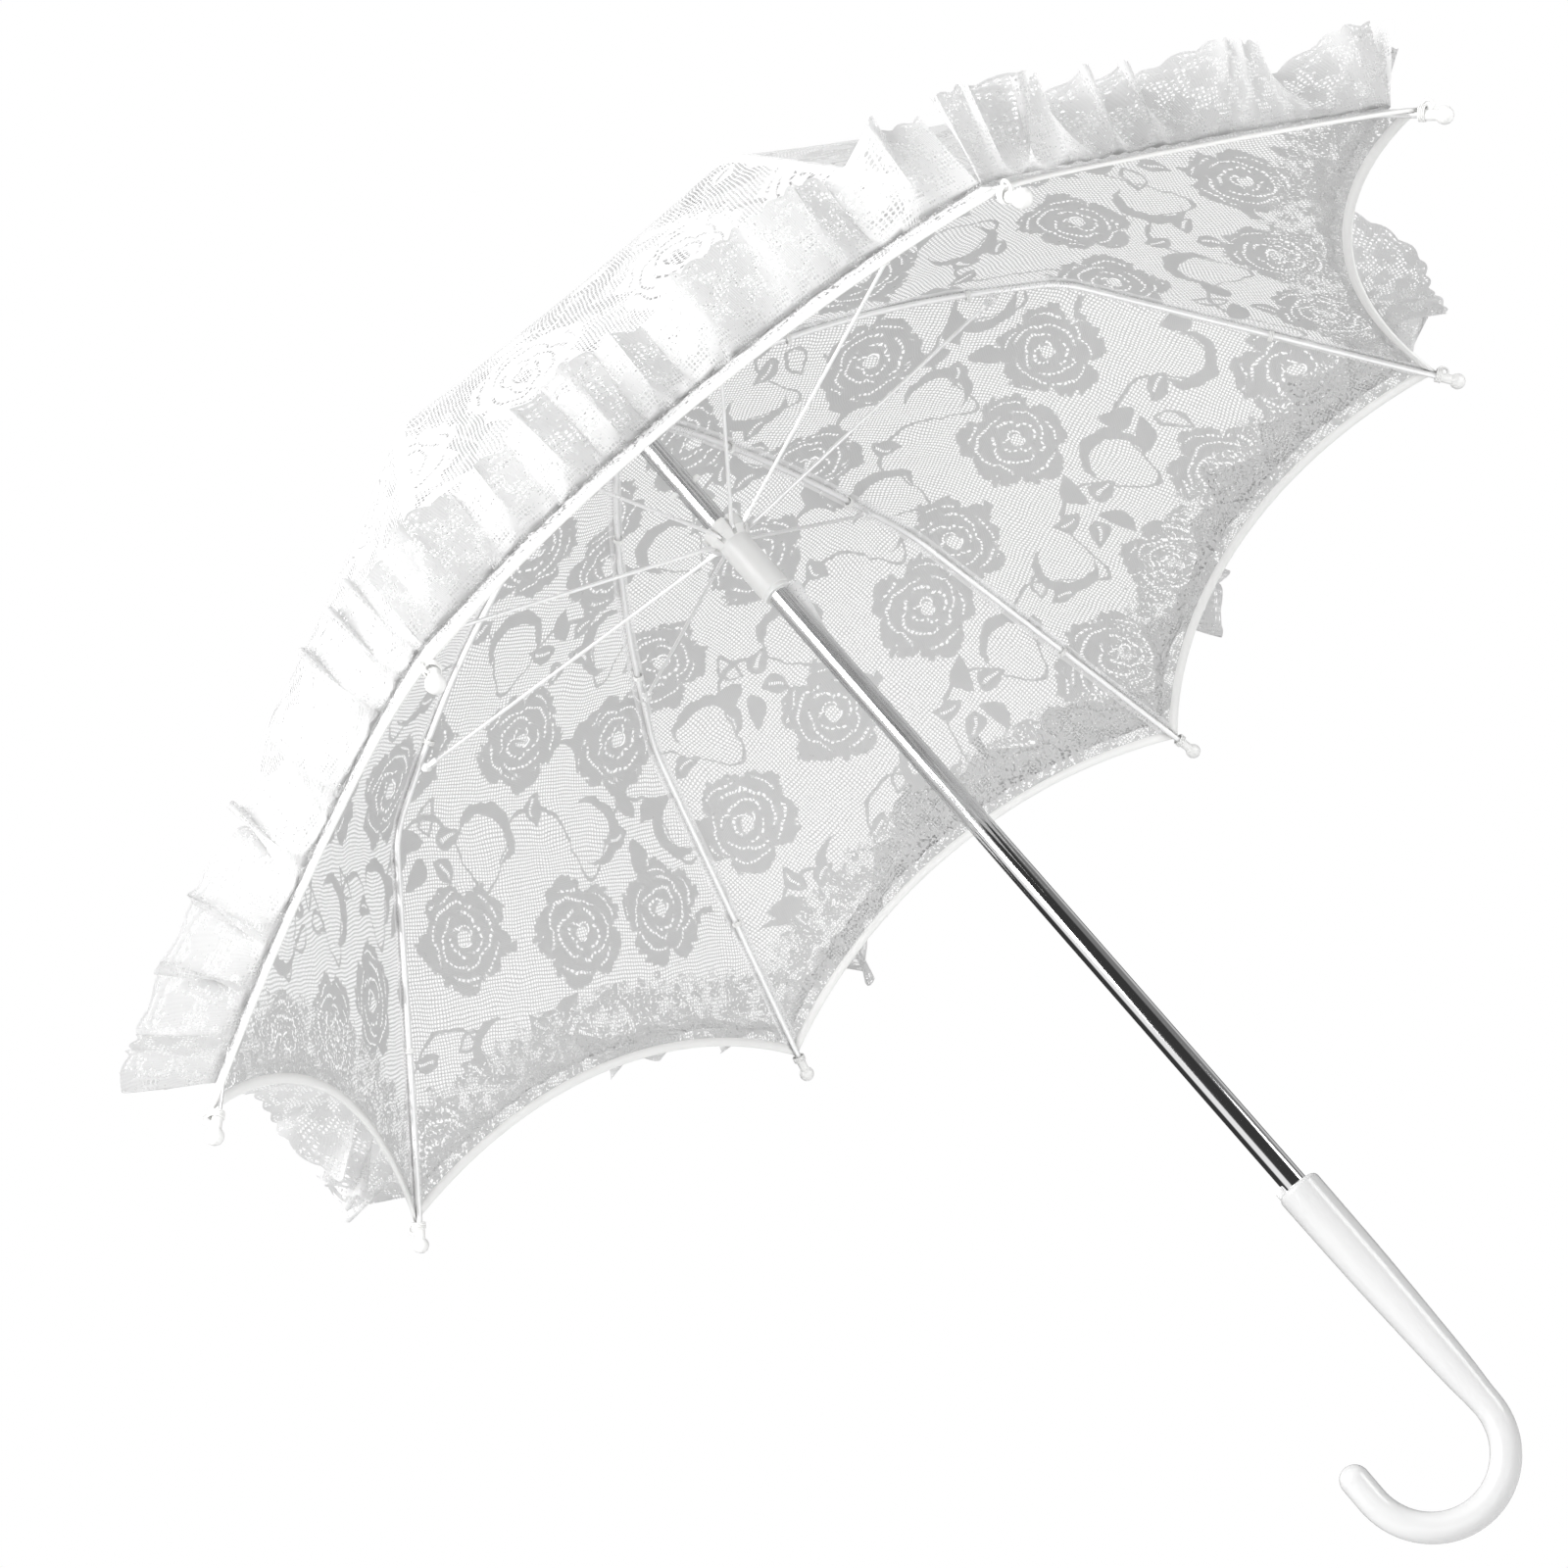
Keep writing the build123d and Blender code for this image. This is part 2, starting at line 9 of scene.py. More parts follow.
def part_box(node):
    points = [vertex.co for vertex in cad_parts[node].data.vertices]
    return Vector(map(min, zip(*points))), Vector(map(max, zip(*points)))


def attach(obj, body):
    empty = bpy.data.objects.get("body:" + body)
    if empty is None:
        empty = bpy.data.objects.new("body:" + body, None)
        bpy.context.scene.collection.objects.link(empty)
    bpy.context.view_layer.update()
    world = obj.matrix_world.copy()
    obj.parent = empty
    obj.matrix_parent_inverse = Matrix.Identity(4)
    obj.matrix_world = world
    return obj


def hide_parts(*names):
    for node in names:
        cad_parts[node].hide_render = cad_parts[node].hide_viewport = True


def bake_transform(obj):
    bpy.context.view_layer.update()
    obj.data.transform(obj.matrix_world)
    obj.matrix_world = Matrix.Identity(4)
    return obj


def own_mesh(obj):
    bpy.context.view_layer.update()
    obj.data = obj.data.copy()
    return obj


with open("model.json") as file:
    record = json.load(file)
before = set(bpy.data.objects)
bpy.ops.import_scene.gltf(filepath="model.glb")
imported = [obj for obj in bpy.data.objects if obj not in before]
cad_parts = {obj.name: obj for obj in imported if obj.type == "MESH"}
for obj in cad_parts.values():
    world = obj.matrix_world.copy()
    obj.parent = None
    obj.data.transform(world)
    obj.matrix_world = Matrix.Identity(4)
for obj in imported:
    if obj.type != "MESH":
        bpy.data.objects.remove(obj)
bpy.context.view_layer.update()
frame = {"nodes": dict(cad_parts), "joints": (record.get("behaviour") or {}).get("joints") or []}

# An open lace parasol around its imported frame. The canopy with its frill, tape and thread, the ribs
# and the rosette are built here. The shaft, runner, stretchers, handle and fittings are the frame's own
# parts with better materials.
# Lengths are in metres unless a name ends in _MM; angles are in degrees.

MM = 0.001
RIBS = 8
STEP = 360 / RIBS
HALF = STEP / 2
SIDEWAYS = tan(radians(HALF))           # half width of a gore over its distance from the axis
SQUEEZE = np.array([cos(radians(HALF)), 1])     # from a rib's (r, z) to a gore's middle, nearer the axis
JOINTS = {joint["name"]: joint for joint in frame["joints"]}


def in_plane(name):
    """Where a joint is, as (distance from the shaft's axis, height)."""
    x, y, z = JOINTS[name]["pos_m"]
    return np.array([hypot(x, y), z])


def heading(angle):
    """Unit (outwards, up) vector at an angle above the horizontal."""
    return np.array([cos(radians(angle)), sin(radians(angle))])


def slope_of(vector):
    """The angle of an (outwards, up) vector above the horizontal."""
    return degrees(atan2(vector[1], vector[0]))


# One rib, as (distance from the axis, height)
CROWN = in_plane("rib_fold_1")
BEND = in_plane("rib_unbend_1")
RIVET = in_plane("stretcher_swing_1")
TIP = np.array([0.320, 0.300])
LUG_DEPTH = 4.0 * MM
RIB_TURN = 24.0                         # of the inner rib, between the crown and the rivet
RIB_WIRE = 1.3 * MM                     # radius
BEND_RADIUS = 45 * MM
PATH_STEP = 1.0 * MM                    # between the points of a rib's path
EYE_OUTER, EYE_THICK = 1.9 * MM, 1.2 * MM       # of the washer-like eyes at the crown and the rivet
CROWN_HOLE, RIVET_HOLE = 0.65 * MM, 0.6 * MM    # their radii
EYE_NECK = 0.6 * MM                     # half thickness of the flattened wire at the crown
THREAD = 0.35 * MM                      # radius
TIE_PLACES = {"rib": [0.42, 0.2], "rib_end": [0.78]}     # shares of the rib's path, by body
CLOTH_LIFT = RIB_WIRE + 0.7 * MM        # from the wire's centre line to the cloth

# Canopy
CLOTH_START = 12 * MM                   # inner edge, from the axis
HEM_BEFORE_TIP = 11 * MM                # along the rib
HEM_RISE = 30 * MM                      # how far the hem rises between two ribs
MIDDLE_RADIUS = 110 * MM                # of the bend, half way between two ribs
INNER_SAG = 2.5 * MM                    # how far the cloth pulls in between two ribs
OUTER_SAG = 4.0 * MM
PUCKER = 0.5 * MM                       # ripples beside the seams
PUCKER_PITCH = 13 * MM
PUCKER_REACH = 9 * MM                   # from the seam
HEM_TAPE = 3.5 * MM                     # width
TAPE_HALF = 0.35 * MM                   # half its thickness
COLUMNS, INNER_ROWS, OUTER_ROWS = 33, 36, 30
CROWDING = 1.35                         # radians; crowds a gore's columns towards its seams
HEM_COLUMNS = 61

# Frill
FRILL_SETBACK = 8 * MM                  # from the hem to the frill's seam
FRILL_WIDTH = 32 * MM
FRILL_HEADING = 5 * MM                  # the short side, above the seam
# How the frill stands in each gore, from straight on past the hem (0) to square to the cloth (90) and
# back over it (180), and how its heading stands.
FRILL_FLARE = (100, 100, 100, 97, 138, 140, 114, 100)
HEADING_FLARE = 140.0
FRILL_GATHER = 1.6                      # cut length over seam length
FRILL_FOLDS = 8                         # in one gore
FRILL_FOLD_DEPTH = 8.5 * MM
FRILL_CRIMP = 0.6 * MM                  # small ripples at the gathering thread
FRILL_COLUMNS, FRILL_ROWS = 265, 15
FOLD_DRIFT, FOLD_UNEVEN, TILT_UNEVEN = 0.7, 0.3, 12     # random shares of a fold, of its depth; degrees
# Where the frill droops in a gore: (middle, half width), both as shares of the seam.
FRILL_DROOPS = {
    1: [(0.7, 0.07)],
    2: [(0.75, 0.07)],
    4: [(0.3, 0.22)],
    5: [(0.05, 0.15)],
    8: [(0.8, 0.13)],
}
DROOP_TURN = 62                         # at the middle of a droop
SCALLOP_PITCH = 9 * MM                  # of the frill's edge, on the flat cloth
SCALLOP_DEPTH = 2 * MM

# Rosette
ROSETTE_INNER, ROSETTE_OUTER = 11.5 * MM, 23.5 * MM
ROSETTE_COLUMNS, ROSETTE_ROWS = 160, 8
ROSETTE_FOLDS = 16

# Lace, in millimetres on the flat cloth
LATTICE_MM = (184.0, 62.0)              # two roses in each cell
ROSE_MM, LOBE_MM = 17.5, 8.0            # a rose's radius between its outer petals, and their size
HEART_MM, RIM_MM = 3.6, 3.5             # radius of its net middle, width of its unpierced rim
RING_MM = 5.2                           # between the rows of petals
LADDER_MM = 1.7                         # pitch of the openwork along a petal's edge
LEAF_MM, LEAF_HALF_MM = 11.0, 4.8       # half the length and half the width of a leaf
LEAF_START_MM = 2.5                     # from the middle of a sprig
CURL_MM = 14.0                          # radius of a stem's curl
BORDER_MM, BORDER_RAGGED_MM = 34.0, 26  # width of the close flowering along the hem, and its unevenness
FLORETS_MM = (23.0, 13.0)               # lattice of the border's small flowers
SEAM_MM = 4.0                           # width of doubled cloth beside a seam
NET_MM = 1.7
STITCH_MM = 0.8                         # pitch of the satin stitches
EDGE_MM = 0.15                          # half width of a soft edge
GORE_SHIFT_MM = (23.0, 37.0)            # from one gore's cut to the next
NET_STRETCH_MM, FLOWER_STRETCH_MM = 9, 4.5      # sizes of the lace's broad and its fine unevenness
GRAIN_TURN = (86, 78, 100, 70, 112, 84, 95, 72)     # of the cloth in each gore

# Tones, from 0 to 1
NET_TONE, SATIN_DARKER, DOUBLED_AND_PAINTED_LIGHTER = 0.64, 0.07, 0.2

# Camera, floor and light
CAMERA_PLACE = (-0.0885, -1.2629, -0.1722)
CAMERA_TURN, CAMERA_TILT, CAMERA_ROLL = -1.79, 20.90, -40.39
CAMERA_LENS, SENSOR_WIDTH = 76.84, 36.0     # in millimetres
FLOOR_Z, FLOOR_HALF = -0.30, 40.0
FILL_STRENGTH = 0.36
# What bright metal mirrors: (azimuth, half width, brightness) of each card, in a band of the surround
# whose middle, half height and soft edge are given as the height of a unit direction.
BRIGHT_CARDS = [(-149, 24, 0.85), (-10, 26, 0.16), (32, 17, 0.5)]
CARD_EDGE = 5
DARKEST = 0.04                          # brightness between the cards
BAND_MIDDLE, BAND_HALF, BAND_EDGE = 0.2, 0.32, 0.05
KEY_POWER, KEY_PLACE, KEY_SIZE = 49.0, (-0.85, -1.15, 1.2), 1.4
KEY_TARGET = (0, 0, 0.35)
SIDE_POWER, SIDE_PLACE, SIDE_SIZE = 19.0, (1.25, -0.5, 0.08), 0.3


# ---------------------------------------------------------------- paths and grids

def rivet_wire():
    """The wire's point above the rivet, and its slope there: the rivet hangs square below the wire."""
    slope = slope_of(BEND - RIVET)
    for _ in range(20):
        point = RIVET + heading(slope + 90) * LUG_DEPTH
        slope = slope_of(BEND - point)
    return point, slope


WIRE_JOINT, END_SLOPE = rivet_wire()
START_SLOPE = END_SLOPE + RIB_TURN
OUTER_SLOPE = slope_of(TIP - BEND)


def lengths(points):
    """Distance along a path at each of its points."""
    return np.concatenate([[0], np.cumsum(np.linalg.norm(np.diff(points, axis=0), axis=1))])


def sample(points, wanted):
    """Points of a path at the wanted distances along it."""
    reach = lengths(points)
    return np.stack([np.interp(wanted, reach, column) for column in points.T], 1)


def normals(points):
    """Outward unit normals of an (r, z) path that runs outwards."""
    run = np.gradient(points, axis=0)
    run /= np.linalg.norm(run, axis=1)[:, None]
    return np.stack([-run[:, 1], run[:, 0]], 1)


def arc(centre, radius, first, turn, steps):
    """Points of an arc. first is the direction from the centre to its start, turn is clockwise."""
    return [centre + heading(first - turn * i / steps) * radius for i in range(steps + 1)]


def rib_path(bend_radius, spacing=PATH_STEP):
    """Evenly spaced (r, z) points of a rib from crown to tip, with its bend rounded."""
    chord = np.hypot(*(WIRE_JOINT - CROWN))
    curve_radius = chord / 2 / sin(radians(RIB_TURN / 2))
    centre = CROWN + heading(START_SLOPE - 90) * curve_radius
    inner = arc(centre, curve_radius, START_SLOPE + 90, RIB_TURN, 60)
    turn = END_SLOPE - OUTER_SLOPE
    arc_start = BEND - heading(END_SLOPE) * bend_radius * tan(radians(turn / 2))
    centre = arc_start + heading(END_SLOPE - 90) * bend_radius
    bend = arc(centre, bend_radius, END_SLOPE + 90, turn, 40)
    points = np.array(inner + bend + [TIP])
    total = lengths(points)[-1]
    return sample(points, np.linspace(0, total, int(total / spacing)))


def gore_path(share):
    """(x, z) points of the cloth at a share of a gore's half width, crown to tip, and its normals."""
    path = rib_path(BEND_RADIUS + (MIDDLE_RADIUS - BEND_RADIUS) * (1 - share ** 2)) * SQUEEZE
    out = normals(path)
    return path + out * CLOTH_LIFT, out


DOWN = (TIP - BEND) * SQUEEZE / np.hypot(*((TIP - BEND) * SQUEEZE))     # lower part of a gore
FLAT = heading(END_SLOPE) * SQUEEZE / np.hypot(*(heading(END_SLOPE) * SQUEEZE))
OUT = np.array([-DOWN[1], DOWN[0]])
PLANE_START = BEND * SQUEEZE + OUT * CLOTH_LIFT
FALL = np.hypot(*((TIP - BEND) * SQUEEZE))
HEM_REACH = FALL * (1 - HEM_BEFORE_TIP / np.hypot(*(TIP - BEND)))
HEM_HALF = (PLANE_START + DOWN * HEM_REACH)[0] * SIDEWAYS
HEM_RADIUS = (HEM_HALF ** 2 + HEM_RISE ** 2) / (2 * HEM_RISE)
HEM_CENTRE = HEM_REACH + HEM_RADIUS - HEM_RISE


def half_width(drop):
    """Half the width of a gore at a distance down its lower part."""
    return (PLANE_START[0] + DOWN[0] * drop) * SIDEWAYS


def hem_drop(share, before=0.0):
    """How far down the hem is at a share of the half width, or a line that far before the hem."""
    drop = HEM_REACH
    for _ in range(30):
        drop = HEM_CENTRE - ((HEM_RADIUS + before) ** 2 - (share * half_width(drop)) ** 2) ** 0.5
    return drop


def outer_sag(share, drop):
    """How far the lower part of a gore pulls in."""
    along = np.clip(drop / hem_drop(share), 0, 1)
    return OUTER_SAG * np.sin(pi / 2 * along) ** 2 * (1 - share ** 2)


def gore_surface(part):
    """Grids of one part of a gore around azimuth 0: its points, their places on the flat cloth, and
    their distances from the seam and the hem."""
    columns = []
    for share in np.sin(np.linspace(-CROWDING, CROWDING, COLUMNS)) / sin(CROWDING):
        path, out = gore_path(share)
        reach = lengths(path)
        start = np.interp(CLOTH_START, path[:, 0], reach)
        split = np.interp(0, (path - BEND * SQUEEZE) @ (DOWN + FLAT), reach)
        hem = np.interp((PLANE_START + DOWN * hem_drop(share))[0], path[:, 0], reach)
        if part == "inner":
            stops = np.linspace(start, split, INNER_ROWS)
        else:
            stops = np.linspace(split, hem, OUTER_ROWS)
        point = sample(path, stops)
        lift = np.stack([np.interp(stops, reach, c) for c in out.T], 1)
        along = (stops - stops[0]) / (stops[-1] - stops[0])
        drop = (point - PLANE_START) @ DOWN
        if part == "inner":
            sag = INNER_SAG * np.sin(pi * along) * (1 - share ** 2)
        else:
            sag = outer_sag(share, drop)
        from_seam = (1 - abs(share)) * point[:, 0] * SIDEWAYS
        ripple = PUCKER * np.sin(2 * pi * stops / PUCKER_PITCH + 2 * share) * np.sin(pi * along)
        ripple *= np.exp(-from_seam / PUCKER_REACH) * np.minimum(1, from_seam / (2 * MM))
        point = point - lift * (sag - ripple)[:, None]
        y = share * point[:, 0] * SIDEWAYS
        from_hem = np.hypot(HEM_CENTRE - drop, y) - HEM_RADIUS
        values = [point[:, 0], y, point[:, 1], y, stops - start, from_seam, from_hem]
        columns.append(np.stack(values, 1))
    table = np.stack(columns, 1)
    return table[..., :3], table[..., 3:5] / MM, table[..., 5:7] / MM


def lower_point(share, drop, lift=0.0):
    """A point of the lower part of a gore."""
    x, z = PLANE_START + DOWN * drop + OUT * (lift - outer_sag(share, drop))
    return np.array([x, share * half_width(drop), z])


# ---------------------------------------------------------------- meshes

def turned(points, azimuth):
    """Points turned about the shaft's axis."""
    a = radians(azimuth)
    turn = np.array([[cos(a), -sin(a), 0], [sin(a), cos(a), 0], [0, 0, 1]])
    return np.asarray(points) @ turn.T


def new_mesh(name, vertices, faces):
    """A smooth mesh object in the scene."""
    mesh = bpy.data.meshes.new(name)
    mesh.from_pydata([tuple(v) for v in vertices], [], faces)
    mesh.polygons.foreach_set("use_smooth", [True] * len(mesh.polygons))
    mesh.update()
    piece = bpy.data.objects.new(name, mesh)
    bpy.context.scene.collection.objects.link(piece)
    return piece


def grid_faces(rows, columns, closed=False, first=0):
    """Quads of a grid of vertices, row by row. A closed grid joins its last column to its first."""
    across = columns if closed else columns - 1
    faces = []
    for r in range(rows - 1):
        for c in range(across):
            low = first + r * columns
            high = low + columns
            right = (c + 1) % columns
            faces.append((low + c, low + right, high + right, high + c))
    return faces


def sheet_mesh(name, grid, cut, edges, azimuth):
    """A sheet from a grid of points. cut is where each point lies on the flat cloth and edges its
    distances from the seam and the hem, all in millimetres."""
    rows, columns = grid.shape[:2]
    piece = new_mesh(name, turned(grid.reshape(-1, 3), azimuth), grid_faces(rows, columns))
    corners = np.empty(len(piece.data.loops), int)
    piece.data.loops.foreach_get("vertex_index", corners)
    for layer_name, values in (("cloth", cut), ("edges", edges)):
        layer = piece.data.uv_layers.new(name=layer_name)
        layer.data.foreach_set("uv", values.reshape(-1, 2)[corners].astype(np.float32).ravel())
    return piece


class Solid:
    """Vertices and faces of a piece that is made of several closed shells."""

    def __init__(self):
        self.vertices = []
        self.faces = []

    def add_rings(self, rings, loop=False):
        """A tube through rings of points; unless it is a loop, both ends are closed."""
        first, count, sides = len(self.vertices), len(rings), len(rings[0])
        for ring in rings:
            self.vertices.extend(ring)
        self.faces += grid_faces(count, sides, True, first)
        last = first + (count - 1) * sides
        if loop:
            self.faces += [(last + i, last + (i + 1) % sides, first + (i + 1) % sides, first + i)
                           for i in range(sides)]
        else:
            self.faces.append(tuple(range(first, first + sides))[::-1])
            self.faces.append(tuple(range(last, last + sides)))

    def add_wire(self, path, radius, across=None, sides=10, loop=False):
        """A wire along an (n, 3) path. radius and across, its second half width, may vary. On a path
        in the plane y = 0, across is measured along Y."""
        path = np.asarray(path)
        radius = np.broadcast_to(radius, len(path))
        across = radius if across is None else np.broadcast_to(across, len(path))
        run = np.roll(path, -1, 0) - np.roll(path, 1, 0) if loop else np.gradient(path, axis=0)
        rings = []
        side = np.array(Vector(run[0]).orthogonal().normalized())
        tiny = 1e-9
        if abs(run[0][1]) < tiny and np.ptp(path[:, 1]) < tiny:
            side = np.array([0.0, 1.0, 0.0])
        for point, step, a, b in zip(path, run, radius, across):
            step = step / np.linalg.norm(step)
            side = side - step * (side @ step)
            side /= np.linalg.norm(side)
            other = np.cross(side, step)
            angles = [2 * pi * i / sides for i in range(sides)]
            rings.append([point + other * a * cos(t) + side * b * sin(t) for t in angles])
        self.add_rings(rings, loop)

    def add_washer(self, centre, outer, hole, thickness, sides=20):
        """A ring with chamfered edges around a line along Y."""
        middle, half = (outer + hole) / 2, (outer - hole) / 2
        corner = 0.3
        flat = 1 - corner
        section = [(1, -flat), (1, flat), (flat, 1), (-flat, 1), (-1, flat), (-1, -flat), (-flat, -1),
                   (flat, -1)]
        rings = []
        for i in range(sides):
            x, z = heading(360 * i / sides)
            rings.append([np.array([centre[0] + x * (middle + a * half), b * thickness / 2,
                                    centre[1] + z * (middle + a * half)]) for a, b in section])
        self.add_rings(rings, True)

    def piece(self, name, azimuth=0.0):
        """The mesh object of these shells, turned about the shaft's axis."""
        return new_mesh(name, turned(np.array(self.vertices), azimuth), self.faces)


def rib_azimuth(index):
    """Where a rib points. Gore 1, at azimuth STEP, lies between ribs 1 and 2, and so on."""
    return STEP * index - HALF


# ---------------------------------------------------------------- procedural patterns

class Pattern:
    """Builds numbers that vary over a surface from Math nodes."""

    def __init__(self, material):
        self.tree = material.node_tree

    def node(self, kind, **settings):
        made = self.tree.nodes.new(kind)
        for key, value in settings.items():
            setattr(made, key, value)
        return made

    def put(self, socket, value):
        if isinstance(value, Value):
            self.tree.links.new(value.socket, socket)
        else:
            socket.default_value = value

    def math(self, operation, *terms):
        made = self.node("ShaderNodeMath", operation=operation)
        for socket, term in zip(made.inputs, terms):
            self.put(socket, term)
        return Value(self, made.outputs[0])

    def place(self, layer):
        """The two coordinates of a UV layer."""
        source = self.node("ShaderNodeUVMap", uv_map=layer)
        parts = self.node("ShaderNodeSeparateXYZ")
        self.tree.links.new(source.outputs[0], parts.inputs[0])
        return Value(self, parts.outputs[0]), Value(self, parts.outputs[1])

    def vector(self, *terms):
        made = self.node("ShaderNodeCombineXYZ")
        for socket, term in zip(made.inputs, terms):
            self.put(socket, term)
        return Value(self, made.outputs[0])

    def length(self, x, y):
        made = self.node("ShaderNodeVectorMath", operation="LENGTH")
        self.put(made.inputs[0], self.vector(x, y))
        return Value(self, made.outputs["Value"])

    def below(self, value, limit, soft):
        """1 where value is under limit, 0 where it is over, with a soft edge."""
        made = self.node("ShaderNodeMapRange", clamp=True)
        self.put(made.inputs["Value"], value)
        self.put(made.inputs["From Min"], limit - soft)
        self.put(made.inputs["From Max"], limit + soft)
        made.inputs["To Min"].default_value = 1
        made.inputs["To Max"].default_value = 0
        return Value(self, made.outputs[0])

    def chance(self, x, y, seed=0.0):
        """A random number from 0 to 1 for each (x, y)."""
        made = self.node("ShaderNodeTexWhiteNoise", noise_dimensions="3D")
        self.put(made.inputs["Vector"], self.vector(x, y, seed))
        return Value(self, made.outputs["Value"])

    def noise(self, where, scale, detail=2.0):
        """Smooth noise around 0, never more than 0.5 from it."""
        made = self.node("ShaderNodeTexNoise", noise_dimensions="3D")
        self.put(made.inputs["Vector"], where)
        made.inputs["Scale"].default_value = scale
        made.inputs["Detail"].default_value = detail
        return Value(self, made.outputs[0]) - 0.5


class Value:
    """One number over a surface; arithmetic on it adds Math nodes."""

    def __init__(self, pattern, socket):
        self.pattern = pattern
        self.socket = socket

    def do(self, operation, *terms):
        return self.pattern.math(operation, self, *terms)

    def __add__(self, other):
        return self.do("ADD", other)

    def __radd__(self, other):
        return self.do("ADD", other)

    def __sub__(self, other):
        return self.do("SUBTRACT", other)

    def __rsub__(self, other):
        return self.pattern.math("SUBTRACT", other, self)

    def __mul__(self, other):
        return self.do("MULTIPLY", other)

    def __rmul__(self, other):
        return self.do("MULTIPLY", other)

    def __truediv__(self, other):
        return self.do("DIVIDE", other)

    def cos(self):
        return self.do("COSINE")

    def sin(self):
        return self.do("SINE")

    def round(self):
        return self.do("ROUND")

    def size(self):
        return self.do("ABSOLUTE")

    def most(self, other):
        return self.do("MAXIMUM", other)

    def least(self, other):
        return self.do("MINIMUM", other)

    def at_least(self, limit):
        return self.do("GREATER_THAN", limit)


def mixed(a, b, share):
    """a where share is 0, b where it is 1."""
    return a + (b - a) * share


def net_holes(pattern, x, y, pitch, size):
    """Staggered round holes of a net. size, from 0 to 1, says how large they are."""
    flattening, soft = 0.9, 0.12
    wave = (x * (pi / pitch)).cos() * (y * (pi / pitch / flattening)).cos()
    return 1 - pattern.below(wave.size(), 1 - size, soft)


def nearest_centre(pattern, x, y, width, height, scatter=0.0):
    """Offsets from the nearest point of a staggered, scattered lattice, and that point."""
    ax = (x / width).round() * width
    ay = (y / height).round() * height
    bx = ((x / width - 0.5).round() + 0.5) * width
    by = ((y / height - 0.5).round() + 0.5) * height
    da = (x - ax) * (x - ax) + (y - ay) * (y - ay)
    db = (x - bx) * (x - bx) + (y - by) * (y - by)
    second = (da - db).at_least(0.0)
    cx, cy = mixed(ax, bx, second), mixed(ay, by, second)
    astray_x = (pattern.chance(cx.round(), cy.round(), seed=1.0) - 0.5) * scatter
    astray_y = (pattern.chance(cx.round(), cy.round(), seed=2.0) - 0.5) * scatter
    return x - cx - astray_x, y - cy - astray_y, cx, cy


def rose(pattern, ragged, dx, dy, cx, cy):
    """(solid, openwork) of the rose around the nearest lattice point: five outer petals, and broken
    ladders of holes that wind out from the middle."""
    spin = pattern.chance((cx / 5).round(), (cy / 5).round()) * (2 * pi)
    away = pattern.length(dx, dy)
    turn = pattern.math("ARCTAN2", dy, dx)
    lobe = (turn * 2.5 + spin).cos().size().do("POWER", 0.4) + (turn * 9 + spin * 2).cos() * 0.12
    within = away - lobe * LOBE_MM - ragged * 10
    heart = pattern.below(away, HEART_MM, 2 * EDGE_MM)
    solid = pattern.below(within, ROSE_MM, EDGE_MM) * (1 - heart)
    winding = away / RING_MM - turn / (2 * pi)
    row = winding.round()
    petal = ((turn * 1.5 + row * 2.1 + spin).cos().size().do("POWER", 0.6) - 0.6) * 0.55
    line = (winding - row - petal + ragged * 0.15).size()
    drawn = 1 - pattern.below((turn * 2 + spin + row * 1.9).cos(), -0.85, 0.1)
    around = turn * away.do("SNAP", RING_MM)
    rungs = 1 - pattern.below((around * (2 * pi / LADDER_MM)).cos(), -0.35, 0.4)
    rows = pattern.below(line, 0.115, 0.03) * drawn * rungs
    return solid, rows * pattern.below(within, ROSE_MM - RIM_MM, 2 * EDGE_MM) * (1 - heart)


def sprigs(pattern, ragged, x, y):
    """(solid, openwork) of the leaves, five at most to a sprig, between the columns of roses."""
    width, height = LATTICE_MM[0] / 2, LATTICE_MM[1]
    cx = ((x / width - 0.5).round() + 0.5) * width
    cy = ((y / height - 0.25).round() + 0.25) * height
    dx, dy = x - cx, y - cy
    column, row = (cx / 5).round(), (cy / 5).round()
    away = pattern.length(dx, dy)
    fifth = 2 * pi / 5
    turn = pattern.math("ARCTAN2", dy, dx) + pattern.chance(column, row, seed=3.0) * 2
    sector = (turn / fifth).round()
    luck = pattern.chance(column + sector.do("WRAP", 2.5, -2.5), row, seed=7.0)
    folded = turn - sector * fifth + (luck - 0.5) * 0.5
    along = (away * folded.cos() - LEAF_MM - LEAF_START_MM) / (LEAF_MM * (0.62 + luck * 0.5))
    across = (away * folded.sin() + (along * along - 0.4) * 2.2).size()
    narrowing = (1 - along * along) * (1 - along * 0.3)
    leaf = across - narrowing * LEAF_HALF_MM - ragged * 2
    present, hollow = pattern.below(luck, 0.68, 0.01), pattern.below((luck - 0.5).size(), 0.05, 0.01)
    outline_mm, slit_half_mm = 1.7, 0.75
    body = pattern.below(leaf, 0.0, EDGE_MM) * present
    fill = pattern.below(leaf, -outline_mm, EDGE_MM) * hollow
    rungs = 1 - pattern.below((along * (2 * pi * LEAF_MM / LADDER_MM)).cos(), -0.3, 0.25)
    slit = pattern.below(across, slit_half_mm, EDGE_MM) * rungs * pattern.below(along.size(), 0.6, 0.05)
    slit = slit * pattern.below(luck, 0.3, 0.01)
    return body * (1 - fill), slit * body


